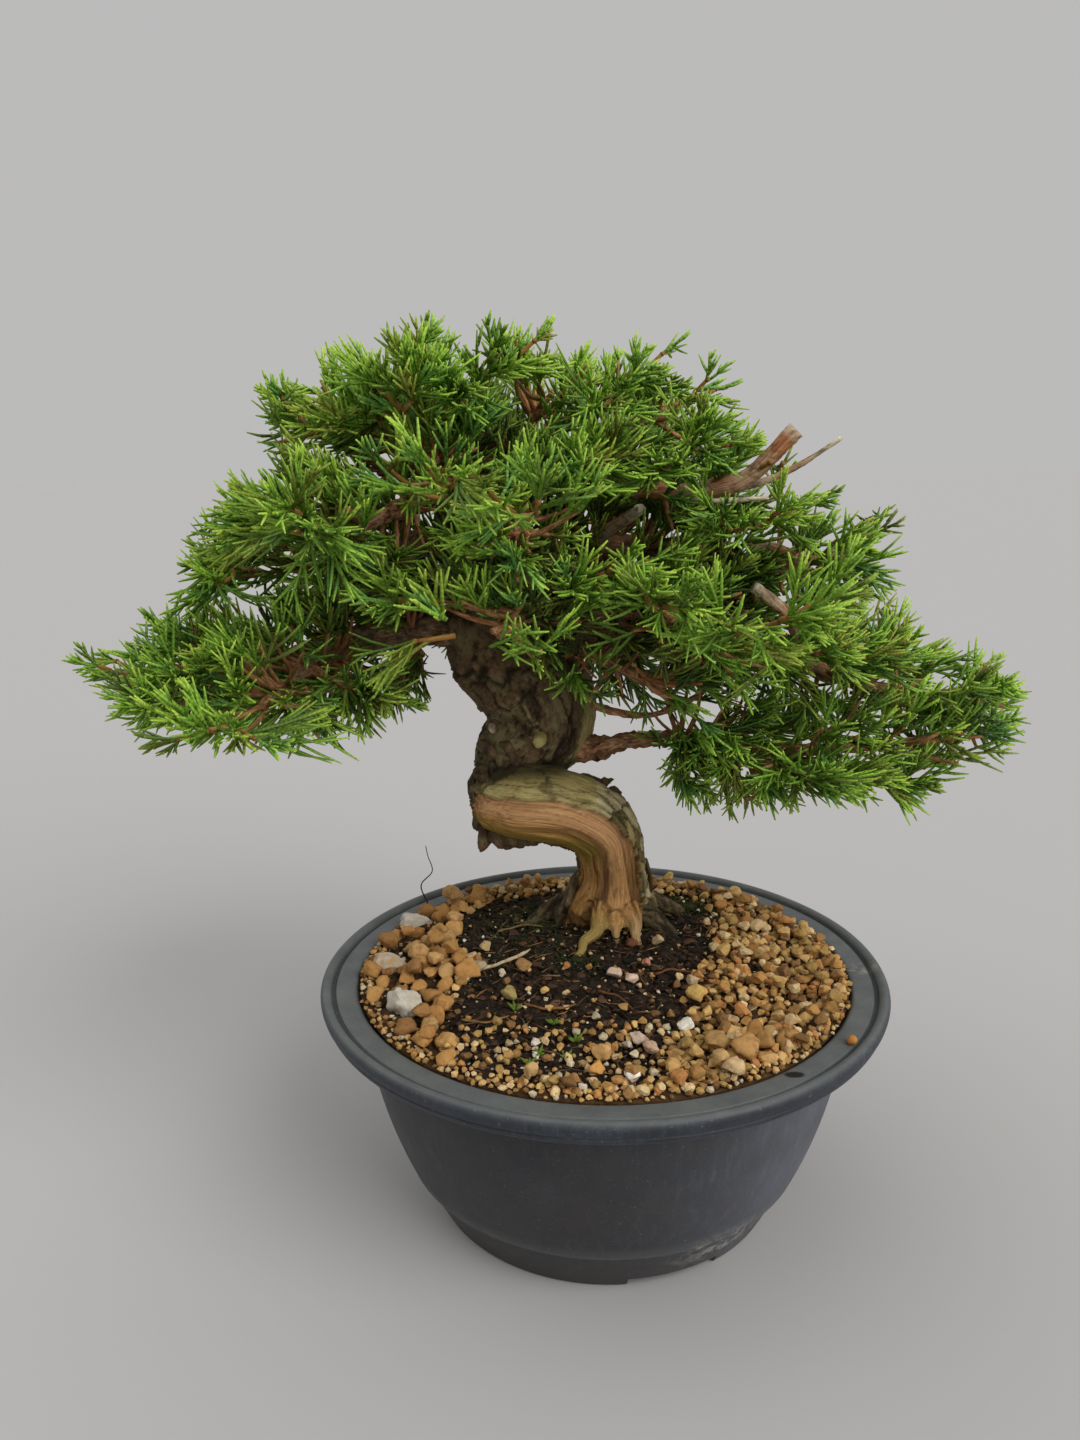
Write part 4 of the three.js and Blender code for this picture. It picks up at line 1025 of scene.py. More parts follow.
# Tints of granules and crumbs, as a screen shows them
CLAY = [(190, 144, 86), (200, 155, 96), (178, 131, 76), (207, 165, 108), (184, 137, 80), (160, 118, 72)]
FINE_CLAY = [(198, 156, 96), (214, 176, 118), (178, 134, 78), (224, 194, 144), (156, 118, 72),
             (190, 134, 80), (132, 98, 62), (206, 168, 104), (172, 140, 84)]
CRUMB = [(36, 29, 23), (54, 42, 31), (72, 55, 40), (30, 34, 27), (88, 66, 48), (50, 38, 32)]
RED_CRUMB = [(62, 45, 37), (84, 60, 46), (46, 34, 28), (104, 78, 58)]
FLECK = [(206, 190, 158), (190, 166, 124), (222, 212, 192), (170, 140, 98)]


def scatter(random, count, radius, keep, spacing):
    """Places in the opening, thinned so that none is nearer to another than the spacing."""
    cell = {}
    places = []
    for _ in range(count):
        r = radius * math.sqrt(random.random())
        a = random.random() * 2 * math.pi
        x, y = r * math.cos(a), r * math.sin(a)
        if random.random() > keep(x, y):
            continue
        key = (int(x // spacing), int(y // spacing))
        near = [p for i in (-1, 0, 1) for j in (-1, 0, 1) for p in cell.get((key[0] + i, key[1] + j), [])]
        if any((p[0] - x) ** 2 + (p[1] - y) ** 2 < spacing * spacing for p in near):
            continue
        cell.setdefault(key, []).append((x, y))
        places.append((x, y))
    return np.array(places)


def clear_of_woody(places, margin):
    """Keeps the places that lie outside the trunk's foot and off the stones."""
    foot_x, foot_y = TRUNK_FOOT
    keep = np.hypot(places[:, 0] - foot_x, places[:, 1] - foot_y) > TRUNK_FOOT_RADIUS + margin
    for stone in STONES:
        away = np.hypot(places[:, 0] - stone["place"][0], places[:, 1] - stone["place"][1])
        keep &= away > min(stone["half"][:2]) + margin
    return places[keep]


def add_lumps(heap, random, places, size, tints, detail, sink, templates=6, flat=0.8):
    """Adds a rough lump at each place, pressed a little into the bed.

    The size is the least and greatest half size, and how strongly small ones prevail.
    """
    least, most, lean = size
    shapes = [lump(detail, 100 + k) for k in range(templates)]
    kinds = random.integers(0, templates, len(places))
    for k, (points, faces) in enumerate(shapes):
        chosen = places[kinds == k]
        if not len(chosen):
            continue
        count = len(chosen)
        bigger = (most - least) * random.random(count) ** lean if most > least else np.zeros(count)
        half = (least + bigger)[:, None] * random.uniform(0.8, 1.15, (count, 3))
        turned = np.einsum("nij,npj->npi", spin(random, count), points[None] * half[:, None])
        turned[..., 2] *= flat
        base = bed_height(chosen[:, 0], chosen[:, 1])
        lift = half.mean(1) * (flat - sink)
        centre = np.stack([chosen[:, 0], chosen[:, 1], base + lift], -1)
        choice = np.array([tint_value(t) for t in tints])
        pick = choice[random.integers(0, len(choice), count)] * random.uniform(0.82, 1.14, (count, 1))
        shift = (np.arange(count) * len(points))[:, None, None]
        heap.add(turned + centre[:, None], [(faces[None] + shift).reshape(-1, 3)],
                 tint=np.repeat(pick, len(points), axis=0))


def front_share(x, y):
    """1 in the strip of small mixed crumbs along the front of the pot."""
    return smoothstep(-46, -62, y) * smoothstep(-56, -48, x) * smoothstep(36, 24, x)


def add_granules():
    finish = grain_finish()
    random = np.random.default_rng(21)
    coarse = Heap()
    left = scatter(random, 4000, 87, lambda x, y: float(x < -48 and humus_share(x, y) < 0.5), 6.6)
    front = scatter(random, 1500, 86, lambda x, y: float(math.hypot(x - 46, y + 66) < 13), 6.4)
    places = clear_of_woody(np.vstack([left, front]), 3)
    add_lumps(coarse, random, places, (2.9, 4.8, 1), CLAY, 3, 0.05)
    second = scatter(random, 300, 84, lambda x, y: float(x < -52 and humus_share(x, y) < 0.4), 9)
    second = clear_of_woody(second, 5)
    add_lumps(coarse, random, second, (2.2, 3.8, 1), CLAY, 3, -1.1)
    coarse.piece("coarse_granules", finish, "soil", ["soil"])

    def grains(x, y):
        return float(x > -54) * (1 - humus_share(x, y)) ** 1.5

    fine = Heap()
    medium = clear_of_woody(scatter(random, 30000, 88.5, grains, 3.1), 1)
    add_lumps(fine, random, medium, (1.3, 2.5, 1), FINE_CLAY, 2, 0.0)
    fine.piece("fine_granules", finish, "soil", ["soil"], smooth=False)

    upper = Heap()
    top = clear_of_woody(scatter(random, 9000, 88, grains, 4.4), 1.5)
    add_lumps(upper, random, top, (1.0, 3.0, 1), FINE_CLAY, 2, -1.0)
    between = scatter(random, 9000, 88, lambda x, y: 1 - humus_share(x, y), 3.6)
    add_lumps(upper, random, between, (0.6, 1.4, 1), FINE_CLAY + FLECK, 1, -0.2)
    edge = scatter(random, 40000, 90.8, lambda x, y: float(math.hypot(x, y) > 85.5), 1.9)
    add_lumps(upper, random, edge, (0.8, 1.7, 1), FINE_CLAY + FLECK[:1], 1, -0.1)
    strip = scatter(random, 12000, 88.5, lambda x, y: 0.85 * front_share(x, y), 2.3)
    add_lumps(upper, random, strip, (0.6, 2.1, 1.8), FINE_CLAY + FLECK, 1, -0.3)
    upper.piece("upper_granules", finish, "soil", ["soil"], smooth=False)

    crumbs = Heap()
    dark = scatter(random, 16000, 88, lambda x, y: 0.12 + 0.88 * humus_share(x, y), 2.1)
    reddish = (dark[:, 0] > 0) & (dark[:, 1] < 6) & (random.random(len(dark)) < 0.6)
    for places, tints in ((dark[~reddish], CRUMB), (dark[reddish], RED_CRUMB)):
        add_lumps(crumbs, random, places, (0.5, 1.7, 1.5), tints, 1, 0.1, flat=0.6)
    chips = scatter(random, 1600, 86, lambda x, y: 0.8 * humus_share(x, y), 6)
    add_lumps(crumbs, random, chips, (1.2, 2.6, 1), CRUMB + RED_CRUMB, 2, 0.0, flat=0.34)
    flecks = scatter(random, 3000, 86, lambda x, y: 0.9 * humus_share(x, y) + 0.1, 3.8)
    add_lumps(crumbs, random, flecks, (0.25, 1.05, 3), FLECK, 1, -0.9)
    mixed = scatter(random, 2600, 84, lambda x, y: 0.5 * humus_share(x, y) * smoothstep(0, -50, y), 5)
    add_lumps(crumbs, random, mixed, (0.8, 1.9, 1), FINE_CLAY + FLECK[:2], 2, -0.3)
    crumbs.piece("humus_crumbs", finish, "soil", ["soil"], smooth=False)
    add_singles(finish)


# Pumice and loose lumps: place, half size, tint and how far it is sunk
SINGLES = [
    ((3, -22), 2.9, (216, 190, 164), -0.4), ((9, -25), 2.7, (220, 190, 168), -0.4),
    ((16, -12), 2.0, (206, 140, 116), -0.4), ((8, -61), 3.2, (222, 200, 180), -0.4),
    ((12, -67), 2.7, (214, 178, 150), -0.4), ((30, -38), 3.6, (226, 186, 110), -0.5),
    ((25, -54), 3.0, (236, 230, 214), -0.5), ((5, -83), 2.8, (240, 234, 222), -0.6),
    ((-46, -11), 2.9, (196, 176, 140), -0.4), ((-29, -13), 3.6, (170, 130, 84), -0.3),
    ((-44, 5), 2.6, (186, 160, 118), -0.4), ((-34, -32), 3.1, (184, 164, 104), -0.3),
    ((31, -25), 2.8, (206, 180, 140), -0.3), ((22, 6), 2.7, (206, 178, 140), -0.3),
    ((12, 5), 2.4, (132, 84, 64), -0.2), ((52, -59), 2.6, (226, 204, 170), -0.6),
    ((41, -72), 4.5, (188, 144, 90), -0.6), ((33, -66), 4.2, (190, 150, 96), -0.5),
    ((36, -80), 4.0, (204, 174, 130), -0.6), ((48, -66), 4.1, (182, 138, 84), -0.5),
    ((-4, -70), 3.5, (200, 158, 100), -0.6), ((-6, -78), 3.2, (206, 152, 84), -0.6),
]
FLANGE_GRAIN = (78.5, -59.5)


def add_singles(finish):
    """Pumice and larger lumps that stand out one by one, and a grain that fell on the flange."""
    random = np.random.default_rng(33)
    heap = Heap()
    for place, half, tint, sink in SINGLES:
        add_lumps(heap, random, np.array([place], float), (half, half, 1), [tint], 3, sink, templates=4)
    points, faces = lump(2, 104)
    at = np.array([*FLANGE_GRAIN, RIM_TOP - FLANGE_DROP + 1.5])
    heap.add(points * 2.0 + at, [faces], tint=tint_value((190, 134, 72)))
    heap.piece("single_grains", finish, "soil", ["soil"])


def add_stones():
    finish = stone_finish()
    for i, stone in enumerate(STONES):
        points, faces = lump(4, 300 + i * 7)
        points = points / np.abs(points).max(0) * stone["half"]
        turn = math.radians(stone["turn"])
        c, s = math.cos(turn), math.sin(turn)
        points = points @ np.array([[c, s, 0], [-s, c, 0], [0, 0, 1]])
        points += 0.12 * fractal(points * 1.1, 3, i)[:, None] * unit(points)
        x, y = stone["place"]
        points += (x, y, mound_height(x, y) + stone["half"][2] - STONE_SINK)
        piece(f"pebble_{i + 1}", points, [faces], finish, [stone["node"]],
              {"stain": np.full(len(points), 0.9 if i == 1 else 0.25)})


# Rootlets: points on the soil, radius and tint
ROOTLETS = [
    ([(-46, -11), (-40, -9), (-34, -5), (-27, 2)], 0.7, (206, 184, 150)),
    ([(-29, -37), (-24, -41), (-17, -42), (-11, -40)], 0.45, (132, 92, 52)),
    ([(34, -33), (37, -41), (43, -53)], 0.5, (178, 130, 78)),
    ([(36, -30), (40, -36), (46, -44), (48, -49)], 0.4, (150, 104, 60)),
    ([(18, -20), (25, -17), (33, -19), (38, -26)], 0.5, (112, 70, 44)),
    ([(-3, -32), (4, -36), (8, -44)], 0.4, (120, 80, 50)),
    ([(-40, 22), (-30, 27), (-22, 24)], 0.4, (126, 108, 70)),
    ([(-50, -44), (-42, -47), (-34, -44)], 0.35, (150, 112, 66)),
]
LITTER = [(98, 70, 42), (62, 46, 32), (142, 108, 66), (40, 32, 24), (74, 56, 44), (58, 60, 40),
          (110, 92, 72)]
HAIR = [(-72, 62, 87), (-75, 66, 94), (-70, 67, 100), (-72, 70, 106), (-73, 72, 110)]


def add_rootlets():
    """Bare rootlets and small debris on the humus, and a thin dark hair at the back of the rim."""
    heap = Heap()
    random = np.random.default_rng(8)
    for route, radius, tint in ROOTLETS:
        route = np.array(route, float)
        height = bed_height(route[:, 0], route[:, 1]) + 2.0
        points, _, _, run = smooth_path(np.column_stack([route, height, np.full(len(route), radius)]), 1.2)
        points[:, 2] += 0.5 * noise(points * 0.4, 3)
        radii = radius * (1 + 0.25 * noise(points * 0.9, 5)) * smoothstep(-3, 4, run[-1] - run)
        tubes(heap, points[None], radii[None], 7, tint=np.tile(tint_value(tint), (1, len(points), 1)))
    litter = scatter(random, 6000, 86, lambda x, y: 0.1 + 0.85 * humus_share(x, y), 2.7)
    count = len(litter)
    turn = random.uniform(0, math.pi, count)
    half = 0.8 + 3.2 * random.random(count) ** 1.6
    way = np.stack([np.cos(turn), np.sin(turn), random.uniform(-0.25, 0.25, count)], -1)
    height = bed_height(litter[:, 0], litter[:, 1]) + 1.0 + 0.9 * random.random(count)
    middle = np.column_stack([litter, height])
    bow = np.stack([-way[:, 1], way[:, 0], np.zeros(count)], -1) * random.uniform(-0.6, 0.6, (count, 1))
    paths = np.stack([middle - way * half[:, None], middle + bow, middle + way * half[:, None]], 1)
    radii = np.tile(random.uniform(0.12, 0.3, (count, 1)), (1, 3)) * [0.8, 1, 0.5]
    tints = np.array([tint_value(t) for t in LITTER])[random.integers(0, len(LITTER), count)]
    tubes(heap, paths, radii, 4, tint=np.repeat(tints[:, None], 3, axis=1))
    hair = np.column_stack([np.array(HAIR, float), np.full(len(HAIR), 0.35)])
    points, radii, _, _ = smooth_path(hair, 1.0)
    tubes(heap, points[None], radii[None] * np.linspace(1, 0.5, len(radii)), 6,
          tint=np.tile(tint_value((44, 40, 36)), (1, len(points), 1)))
    heap.piece("rootlets_and_litter", fibre_finish(), "soil", ["soil"])


SEEDLINGS = [(-19, -50), (79, 7), (-27, -71), (-24, -66), (-15, -68), (-32, -40), (-12, -60)]


def add_moss():
    """Moss of small pointed shoots, and a few seedlings."""
    random = np.random.default_rng(14)
    heap = Heap()
    places = scatter(random, 30000, 86, lambda x, y: float(moss_share(x, y)) ** 1.5, 0.75)
    foot_x, foot_y = TRUNK_FOOT
    places = places[np.hypot(places[:, 0] - foot_x, places[:, 1] - foot_y) > TRUNK_FOOT_RADIUS - 1.5]
    count = len(places)
    foot = np.column_stack([places, bed_height(places[:, 0], places[:, 1]) - 0.2])
    lean = np.stack([random.normal(0, 0.5, count), random.normal(0, 0.5, count), np.ones(count)], -1)
    length = random.uniform(1.0, 2.6, (count, 1))
    paths = np.stack([foot, foot + lean * length * 0.55, foot + lean * length], 1)
    radii = np.tile([0.36, 0.3, 0.05], (count, 1))
    tubes(heap, paths, radii, 3, tip=np.tile([0, 0.55, 1], (count, 1)) * random.uniform(0.5, 1, (count, 1)))
    for x, y in SEEDLINGS:
        blades = 5
        foot = np.tile([x, y, bed_height(x, y) + 1.2], (blades, 1))
        turn = np.arange(blades) * GOLDEN_ANGLE + x
        way = np.stack([np.cos(turn), np.sin(turn), np.full(blades, 0.8)], -1)
        reach = random.uniform(1.8, 3.4, (blades, 1))
        paths = np.stack([foot, foot + way * reach * 0.5, foot + way * reach], 1)
        tubes(heap, paths, np.tile([0.25, 0.62, 0.1], (blades, 1)), 5,
              tip=np.tile([1.0, 1.3, 1.5], (blades, 1)))
    heap.piece("moss", moss_finish(), "soil", ["soil"])


# Trunk

LIMB_SIDES = 24
TRUNK_VOXEL = 0.92
# Numbers of the limbs that merge: the first three roots are stripped, the others have bark
LIMB_LOWER, LIMB_UPPER, LIMB_LEADER, LIMB_ROOTS = 0, 1, 2, 3
BARK_ROOTS = LIMB_ROOTS + 3


class Axis:
    """Close samples along the middle lines of the trunk's main limbs."""

    def __init__(self, paths, step=1.0):
        rows = []
        for number, path in enumerate(paths):
            points, radii, along, run = smooth_path(path, step)
            same = np.tile([run[-1], number], (len(points), 1))
            rows.append(np.column_stack([points, radii, along, run, same]))
        self.rows = np.vstack(rows).astype(np.float32)

    def nearest(self, points):
        """For each point: the sample whose surface is nearest."""
        best = np.full(len(points), 1e9, np.float32)
        index = np.zeros(len(points), np.int64)
        points = points.astype(np.float32)
        for start in range(0, len(self.rows), 64):
            block = self.rows[start:start + 64]
            far = np.linalg.norm(points[:, None] - block[None, :, :3], axis=-1) - block[None, :, 3]
            k = far.argmin(1)
            value = far[np.arange(len(points)), k]
            nearer = value < best
            best = np.where(nearer, value, best)
            index = np.where(nearer, start + k, index)
        return self.rows[index].astype(float)


def merged_trunk(paths, voxel):
    """One closed surface round several limbs that grow into each other."""
    heap = Heap()
    for path in paths:
        points, radii, along, _ = smooth_path(path, 2.0)
        ring = ring_ways(along, LIMB_SIDES)
        ends = np.concatenate([radii[:1] * 0.5, radii, radii[-1:] * 0.5])
        before, after = points[:1] - along[:1] * radii[0] * 0.3, points[-1:] + along[-1:] * radii[-1] * 0.3
        centre = np.vstack([before, points, after])
        ring = np.concatenate([ring[:1], ring, ring[-1:]])
        tube = centre[:, None] + ring * ends[:, None, None]
        heap.add(tube, tube_faces(1, len(centre), LIMB_SIDES))
    mesh = bpy.data.meshes.new("limbs")
    points = np.concatenate(heap.points)
    faces = [list(map(int, f)) for group in heap.faces.values() for part in group for f in part]
    mesh.from_pydata(points.tolist(), [], faces)
    limbs = bpy.data.objects.new("limbs", mesh)
    bpy.context.scene.collection.objects.link(limbs)
    remesh = limbs.modifiers.new("remesh", "REMESH")
    remesh.mode = "VOXEL"
    remesh.voxel_size = voxel
    soften = limbs.modifiers.new("soften", "SMOOTH")
    soften.factor = 0.5
    soften.iterations = 5
    shown = limbs.evaluated_get(bpy.context.evaluated_depsgraph_get()).to_mesh()
    count = len(shown.vertices)
    points = np.zeros(count * 3, np.float32)
    normals = np.zeros(count * 3, np.float32)
    shown.vertices.foreach_get("co", points)
    shown.vertices.foreach_get("normal", normals)
    corner = np.zeros(len(shown.loops), np.int32)
    shown.loops.foreach_get("vertex_index", corner)
    quads = corner.reshape(-1, 4)
    limbs.to_mesh_clear()
    bpy.data.objects.remove(limbs)
    bpy.data.meshes.remove(mesh)
    return points.reshape(-1, 3).astype(float), normals.reshape(-1, 3).astype(float), quads


def plates(grain, size, long, crack, seed):
    """Bark plates: 1 on a plate and 0 in the crack round it, and each plate's number."""
    bent = grain + 1.6 * np.stack([noise(grain * 0.16, seed + i) for i in range(3)], -1)
    inside, number = cells(bent / [size, size, long], seed)
    return smoothstep(0.0, crack, inside), number


def shaggy(grain, seed):
    """Old flaking bark: height of overlapping strips, how deep in a furrow, and each strip's number."""
    bent = grain + 2.6 * np.stack([noise(grain * [0.14, 0.14, 0.09], seed + i) for i in range(3)], -1)
    level = fractal(bent * [0.2, 0.2, 0.062], 3, seed + 5) * 3.4 + 40
    step = level - np.floor(level)
    furrow = smoothstep(0.13, 0.01, np.abs(fractal(bent * [0.15, 0.15, 0.05], 3, seed + 9)))
    fibre = fractal(grain * [0.9, 0.9, 0.24], 2, seed + 13)
    strip = np.floor(level).astype(np.int64)
    length = np.floor(bent[..., 2] / 13).astype(np.int64)
    number = lattice_random(np.stack([strip, length, strip * 0], -1), seed)
    deep = np.maximum(furrow, smoothstep(0.14, 0.0, step) * 0.7)
    return 0.9 * step + 0.4 * fibre - 1.1 * furrow, deep, number


# Swelling where the main left bough leaves the trunk, and the height of the painted shadow in the crease
# above the level part
SHOULDER_PLACE = (-50, 32, 194)
SHOULDER_HALF = (12, 22, 13)
SHOULDER_RISE = 5.5
CREASE_SHADOW_HEIGHT = 159.5


def add_trunk():
    """Lower trunk, upper trunk, leader and roots as one grown surface with wood grain and bark, and with
    painted light and shadow in its values.
    """
    paths = [LOWER_TRUNK, UPPER_TRUNK, LEADER, *ROOTS]
    points, normals, quads = merged_trunk(paths, TRUNK_VOXEL)
    at = Axis(paths).nearest(points)
    centre, thick, along, run, length, limb = at[:, :3], at[:, 3], at[:, 4:7], at[:, 7], at[:, 8], at[:, 9]
    front = np.array([0.0, -1.0, 0.0])
    ahead = unit(front - along * (along @ front)[:, None])
    over = np.cross(along, ahead)
    out = points - centre
    out -= along * np.sum(out * along, -1)[:, None]
    phi = np.degrees(np.arctan2(np.sum(out * over, -1), np.sum(out * ahead, -1)))
    girth = np.linalg.norm(out, axis=-1)
    phase = np.radians(phi)
    grain = np.stack([girth * np.cos(phase), girth * np.sin(phase), run + 300 * limb], -1)

    # Where the bark is stripped: a band along the front that widens towards the base
    lower = (limb == LIMB_LOWER) | (limb >= LIMB_ROOTS)
    trunk_run = np.where(limb == LIMB_LOWER, run, 10)
    level = smoothstep(46, 66, trunk_run)
    ragged = 10 * fractal(grain * [0.1, 0.1, 0.045], 3, 7) + 4 * noise(grain * [0.45, 0.45, 0.3], 8)
    bark_from = 50 - 27 * level + ragged
    bark_to = -86 + 6 * level + ragged * 0.7
    right_root = limb >= BARK_ROOTS
    stripped = smoothstep(-2.5, 2.5, bark_from - phi) * smoothstep(-2.5, 2.5, phi - bark_to)
    broken_end = smoothstep(6, 3, length - run + 0.3 * ragged) * (limb == LIMB_LOWER)
    front_root = (limb >= LIMB_ROOTS) & ~right_root
    stripped = np.where(lower & ~right_root, stripped * (1 - broken_end), 0)
    stripped = np.where(front_root, 1, stripped)
    bark = 1 - stripped
    # Painted shadow and a dark crack on the wood beside the bark's thicker edge
    lip = peak(phi, bark_from + 2, 3.0) * lower * (limb < LIMB_ROOTS) * (1 - broken_end)

    # Large olive plates on top of the level part and small rough ones down its right side,
    # and a strip of smooth pale bark on the upper trunk's right, partly painted light as if lit from the
    # right
    large = smoothstep(70, 80, trunk_run)
    olive_band = smoothstep(12, 30, trunk_run) * lower * smoothstep(92, 70, np.abs(phi - 60))
    olive_band = olive_band * (1 - broken_end)
    smooth_lit_strip = (limb == LIMB_UPPER) * smoothstep(40, 60, phi + 8 * noise(grain * 0.12, 15))
    smooth_lit_strip = smooth_lit_strip * smoothstep(100, 80, phi) * smoothstep(50, 34, run)
    olive = np.clip(olive_band * (0.75 + 0.25 * large) + 0.8 * smooth_lit_strip, 0, 1) * bark
    big, big_number = plates(grain, 11.0, 17.0, 0.08, 3)
    small, small_number = plates(grain, 4.0, 7.0, 0.22, 4)
    plate = np.where(limb == LIMB_UPPER, big, big * large + small * (1 - large))
    plate_number = np.where((large > 0.5) | (limb == LIMB_UPPER), 0.3 + 0.35 * big_number, small_number)
    flat_height = 0.6 * plate + 0.4 * fractal(grain * [0.4, 0.4, 0.2], 3, 5) + 0.35
    flat_height = flat_height + 0.5 * (1 - large) * fractal(grain * 0.6, 2, 6)
    old_height, furrow, strip_number = shaggy(grain, 60)
    slim = np.clip(thick / 11, 0.3, 1)
    relief_bark = np.where(olive > 0.45, flat_height, (old_height + 0.4) * slim)

    # Stripped wood: long grooves and fine fibres
    bent = grain + 1.2 * np.stack([noise(grain * [0.12, 0.12, 0.03], 90 + i) for i in range(3)], -1)
    groove = smoothstep(0.17, 0.0, np.abs(fractal(bent * [0.15, 0.15, 0.009], 3, 31)))
    swell = fractal(bent * [0.11, 0.11, 0.012], 2, 35)
    crack = 0.6 * smoothstep(0.08, 0.0, np.abs(fractal(bent * [0.3, 0.3, 0.02], 2, 33)))
    fibres = fractal(bent * [0.75, 0.75, 0.035], 2, 37)
    groove = np.maximum(groove, crack)
    relief_wood = (0.7 * swell - 0.8 * groove + 0.35 * fibres) * np.clip(thick / 10, 0.25, 1) - 0.5

    lumpy = fractal(points * 0.045, 2, 51) * 1.4 * np.clip(thick / 12, 0.2, 1)
    x, y, z = points.T
    shoulder = np.exp(-(((points - SHOULDER_PLACE) / SHOULDER_HALF) ** 2).sum(1)) * SHOULDER_RISE
    jagged = broken_end * 1.8 * fractal(points * 0.3, 3, 61)
    flare = smoothstep(114, 97, z) * (limb == LIMB_LOWER) * (2.0 + 1.8 * smoothstep(12, 0, x))
    between_roots = smoothstep(99, 91, z) * (limb == LIMB_LOWER) * smoothstep(80, 60, np.abs(phi)) * 6.5
    relief = bark * relief_bark + stripped * relief_wood + lumpy + jagged + flare - between_roots
    moved = points + normals * (relief - 0.5 + shoulder)[:, None]

    dark = np.where(olive > 0.45, (1 - plate) * (1 - 0.3 * large), furrow)
    shown_groove = groove * (0.85 - 0.4 * level)
    low = np.clip(bark * dark + stripped * shown_groove + 0.75 * lip * stripped, 0, 1)
    # Painted shadow in the crease under the upper trunk's overhang, added to low
    crease = peak(z, CREASE_SHADOW_HEIGHT, 2.4) * (x > -42) * (x < 4) * (y < 36) * (limb != LIMB_LEADER)
    low = np.clip(low + 0.9 * crease * bark + 0.3 * broken_end + 0.45 * right_root, 0, 1)
    under = smoothstep(-12, -58, phi) * level * stripped
    near_bend = peak(run, 66, 9) * (limb == LIMB_LOWER) * smoothstep(0, -40, phi) * stripped
    root_tip = (limb == LIMB_ROOTS) * smoothstep(4, 16, run) * 0.9
    green = np.clip(0.9 * under + 0.85 * near_bend + root_tip, 0, 1)
    red = np.where(limb == LIMB_LEADER, 0.4, 0.1)
    red = np.where(limb == LIMB_UPPER, 0.1 + 0.6 * smoothstep(46, 64, run), red)
    pale = front_root * smoothstep(5, 16, run) * np.where(limb == LIMB_ROOTS, 0.2, 0.5)
    # Pink tint with painted light on the stripped wood: the level part's top and front, the upright part's
    # front
    blush = level * smoothstep(-30, 5, phi) + 0.5 * (1 - level) * smoothstep(40, 10, np.abs(phi))
    strip = np.where(olive > 0.45, plate_number, strip_number)
    values = {"grain": grain, "bark": bark, "olive": olive, "low": low, "green": green, "red": red,
              "pale": pale, "blush": np.clip(blush * stripped, 0, 1), "strip": strip}
    piece("trunk_body", moved, [quads], trunk_finish(), ["trunk"], values)


# Loose bark on the trunk: middle, half sizes, turn about the vertical and lean, in degrees
FLAPS = [
    ((-43.6, 16.5, 134.5), (4.6, 2.4, 6.6), 20, 10), ((-38.5, 15, 133.5), (4.0, 2.2, 4.2), -10, -14),
    ((-33.0, 15, 131.4), (6.2, 2.4, 4.4), 8, 5), ((-26.5, 16, 132.4), (4.6, 2.2, 3.2), -6, -8),
    ((-46.2, 19, 141), (2.8, 6.5, 6.4), 4, 8), ((-47.0, 21, 150), (2.6, 7.5, 6.6), -8, -8),
    ((-44.4, 19, 158), (3.4, 6.0, 4.6), 12, -20), ((-3.4, 20, 153.8), (6.0, 2.4, 2.4), 10, 14),
    ((1.6, 21, 152.0), (4.6, 2.2, 2.2), 16, -12), ((6.2, 22, 148.6), (3.6, 2.2, 2.0), 24, 20),
    ((-9.0, 31, 103), (4.0, 6.5, 12.0), -15, 12), ((-13.0, 33, 94), (4.0, 6.0, 5.5), -20, 24),
    ((19.4, 30, 111), (2.2, 5.0, 9.0), 12, -6), ((16.6, 28, 128), (2.2, 5.0, 7.0), 8, -16),
    ((-42.0, 22, 166), (3.4, 5.0, 5.0), 30, -30), ((-33.0, 17.5, 165.5), (2.2, 2.4, 8.5), 10, -38),
]


def add_flaps():
    """Torn plates of dark bark that stand off the trunk's end, its edges and the crease."""
    heap = Heap()
    random = np.random.default_rng(5)
    for i, (middle, half, turn, lean) in enumerate(FLAPS):
        points, faces = lump(3, 400 + i)
        points = points * half
        thin = int(np.argmin(half))
        edge = unit(points * [0 if k == thin else 1 for k in range(3)])
        points += edge * (1.3 * fractal(points * 0.42 + i * 7, 3, i))[:, None]
        points[:, thin] += 0.9 * noise(points * 0.2 + i * 3, 3)
        a, b = math.radians(turn), math.radians(lean)
        about = np.array([[math.cos(a), -math.sin(a), 0], [math.sin(a), math.cos(a), 0], [0, 0, 1]])
        tilt = np.array([[math.cos(b), 0, math.sin(b)], [0, 1, 0], [-math.sin(b), 0, math.cos(b)]])
        points = points @ (about @ tilt).T + middle
        low = np.clip(0.35 + 0.5 * fractal(points * 0.35, 3, 6), 0, 0.85)
        heap.add(points, [faces], grain=points, bark=1.0, olive=0.0, low=low, green=0.0, red=0.35, pale=0.0,
                 blush=0.0, strip=random.random())
    heap.piece("bark_flaps", bpy.data.materials["trunk_wood_and_bark"], "bark_and_deadwood")


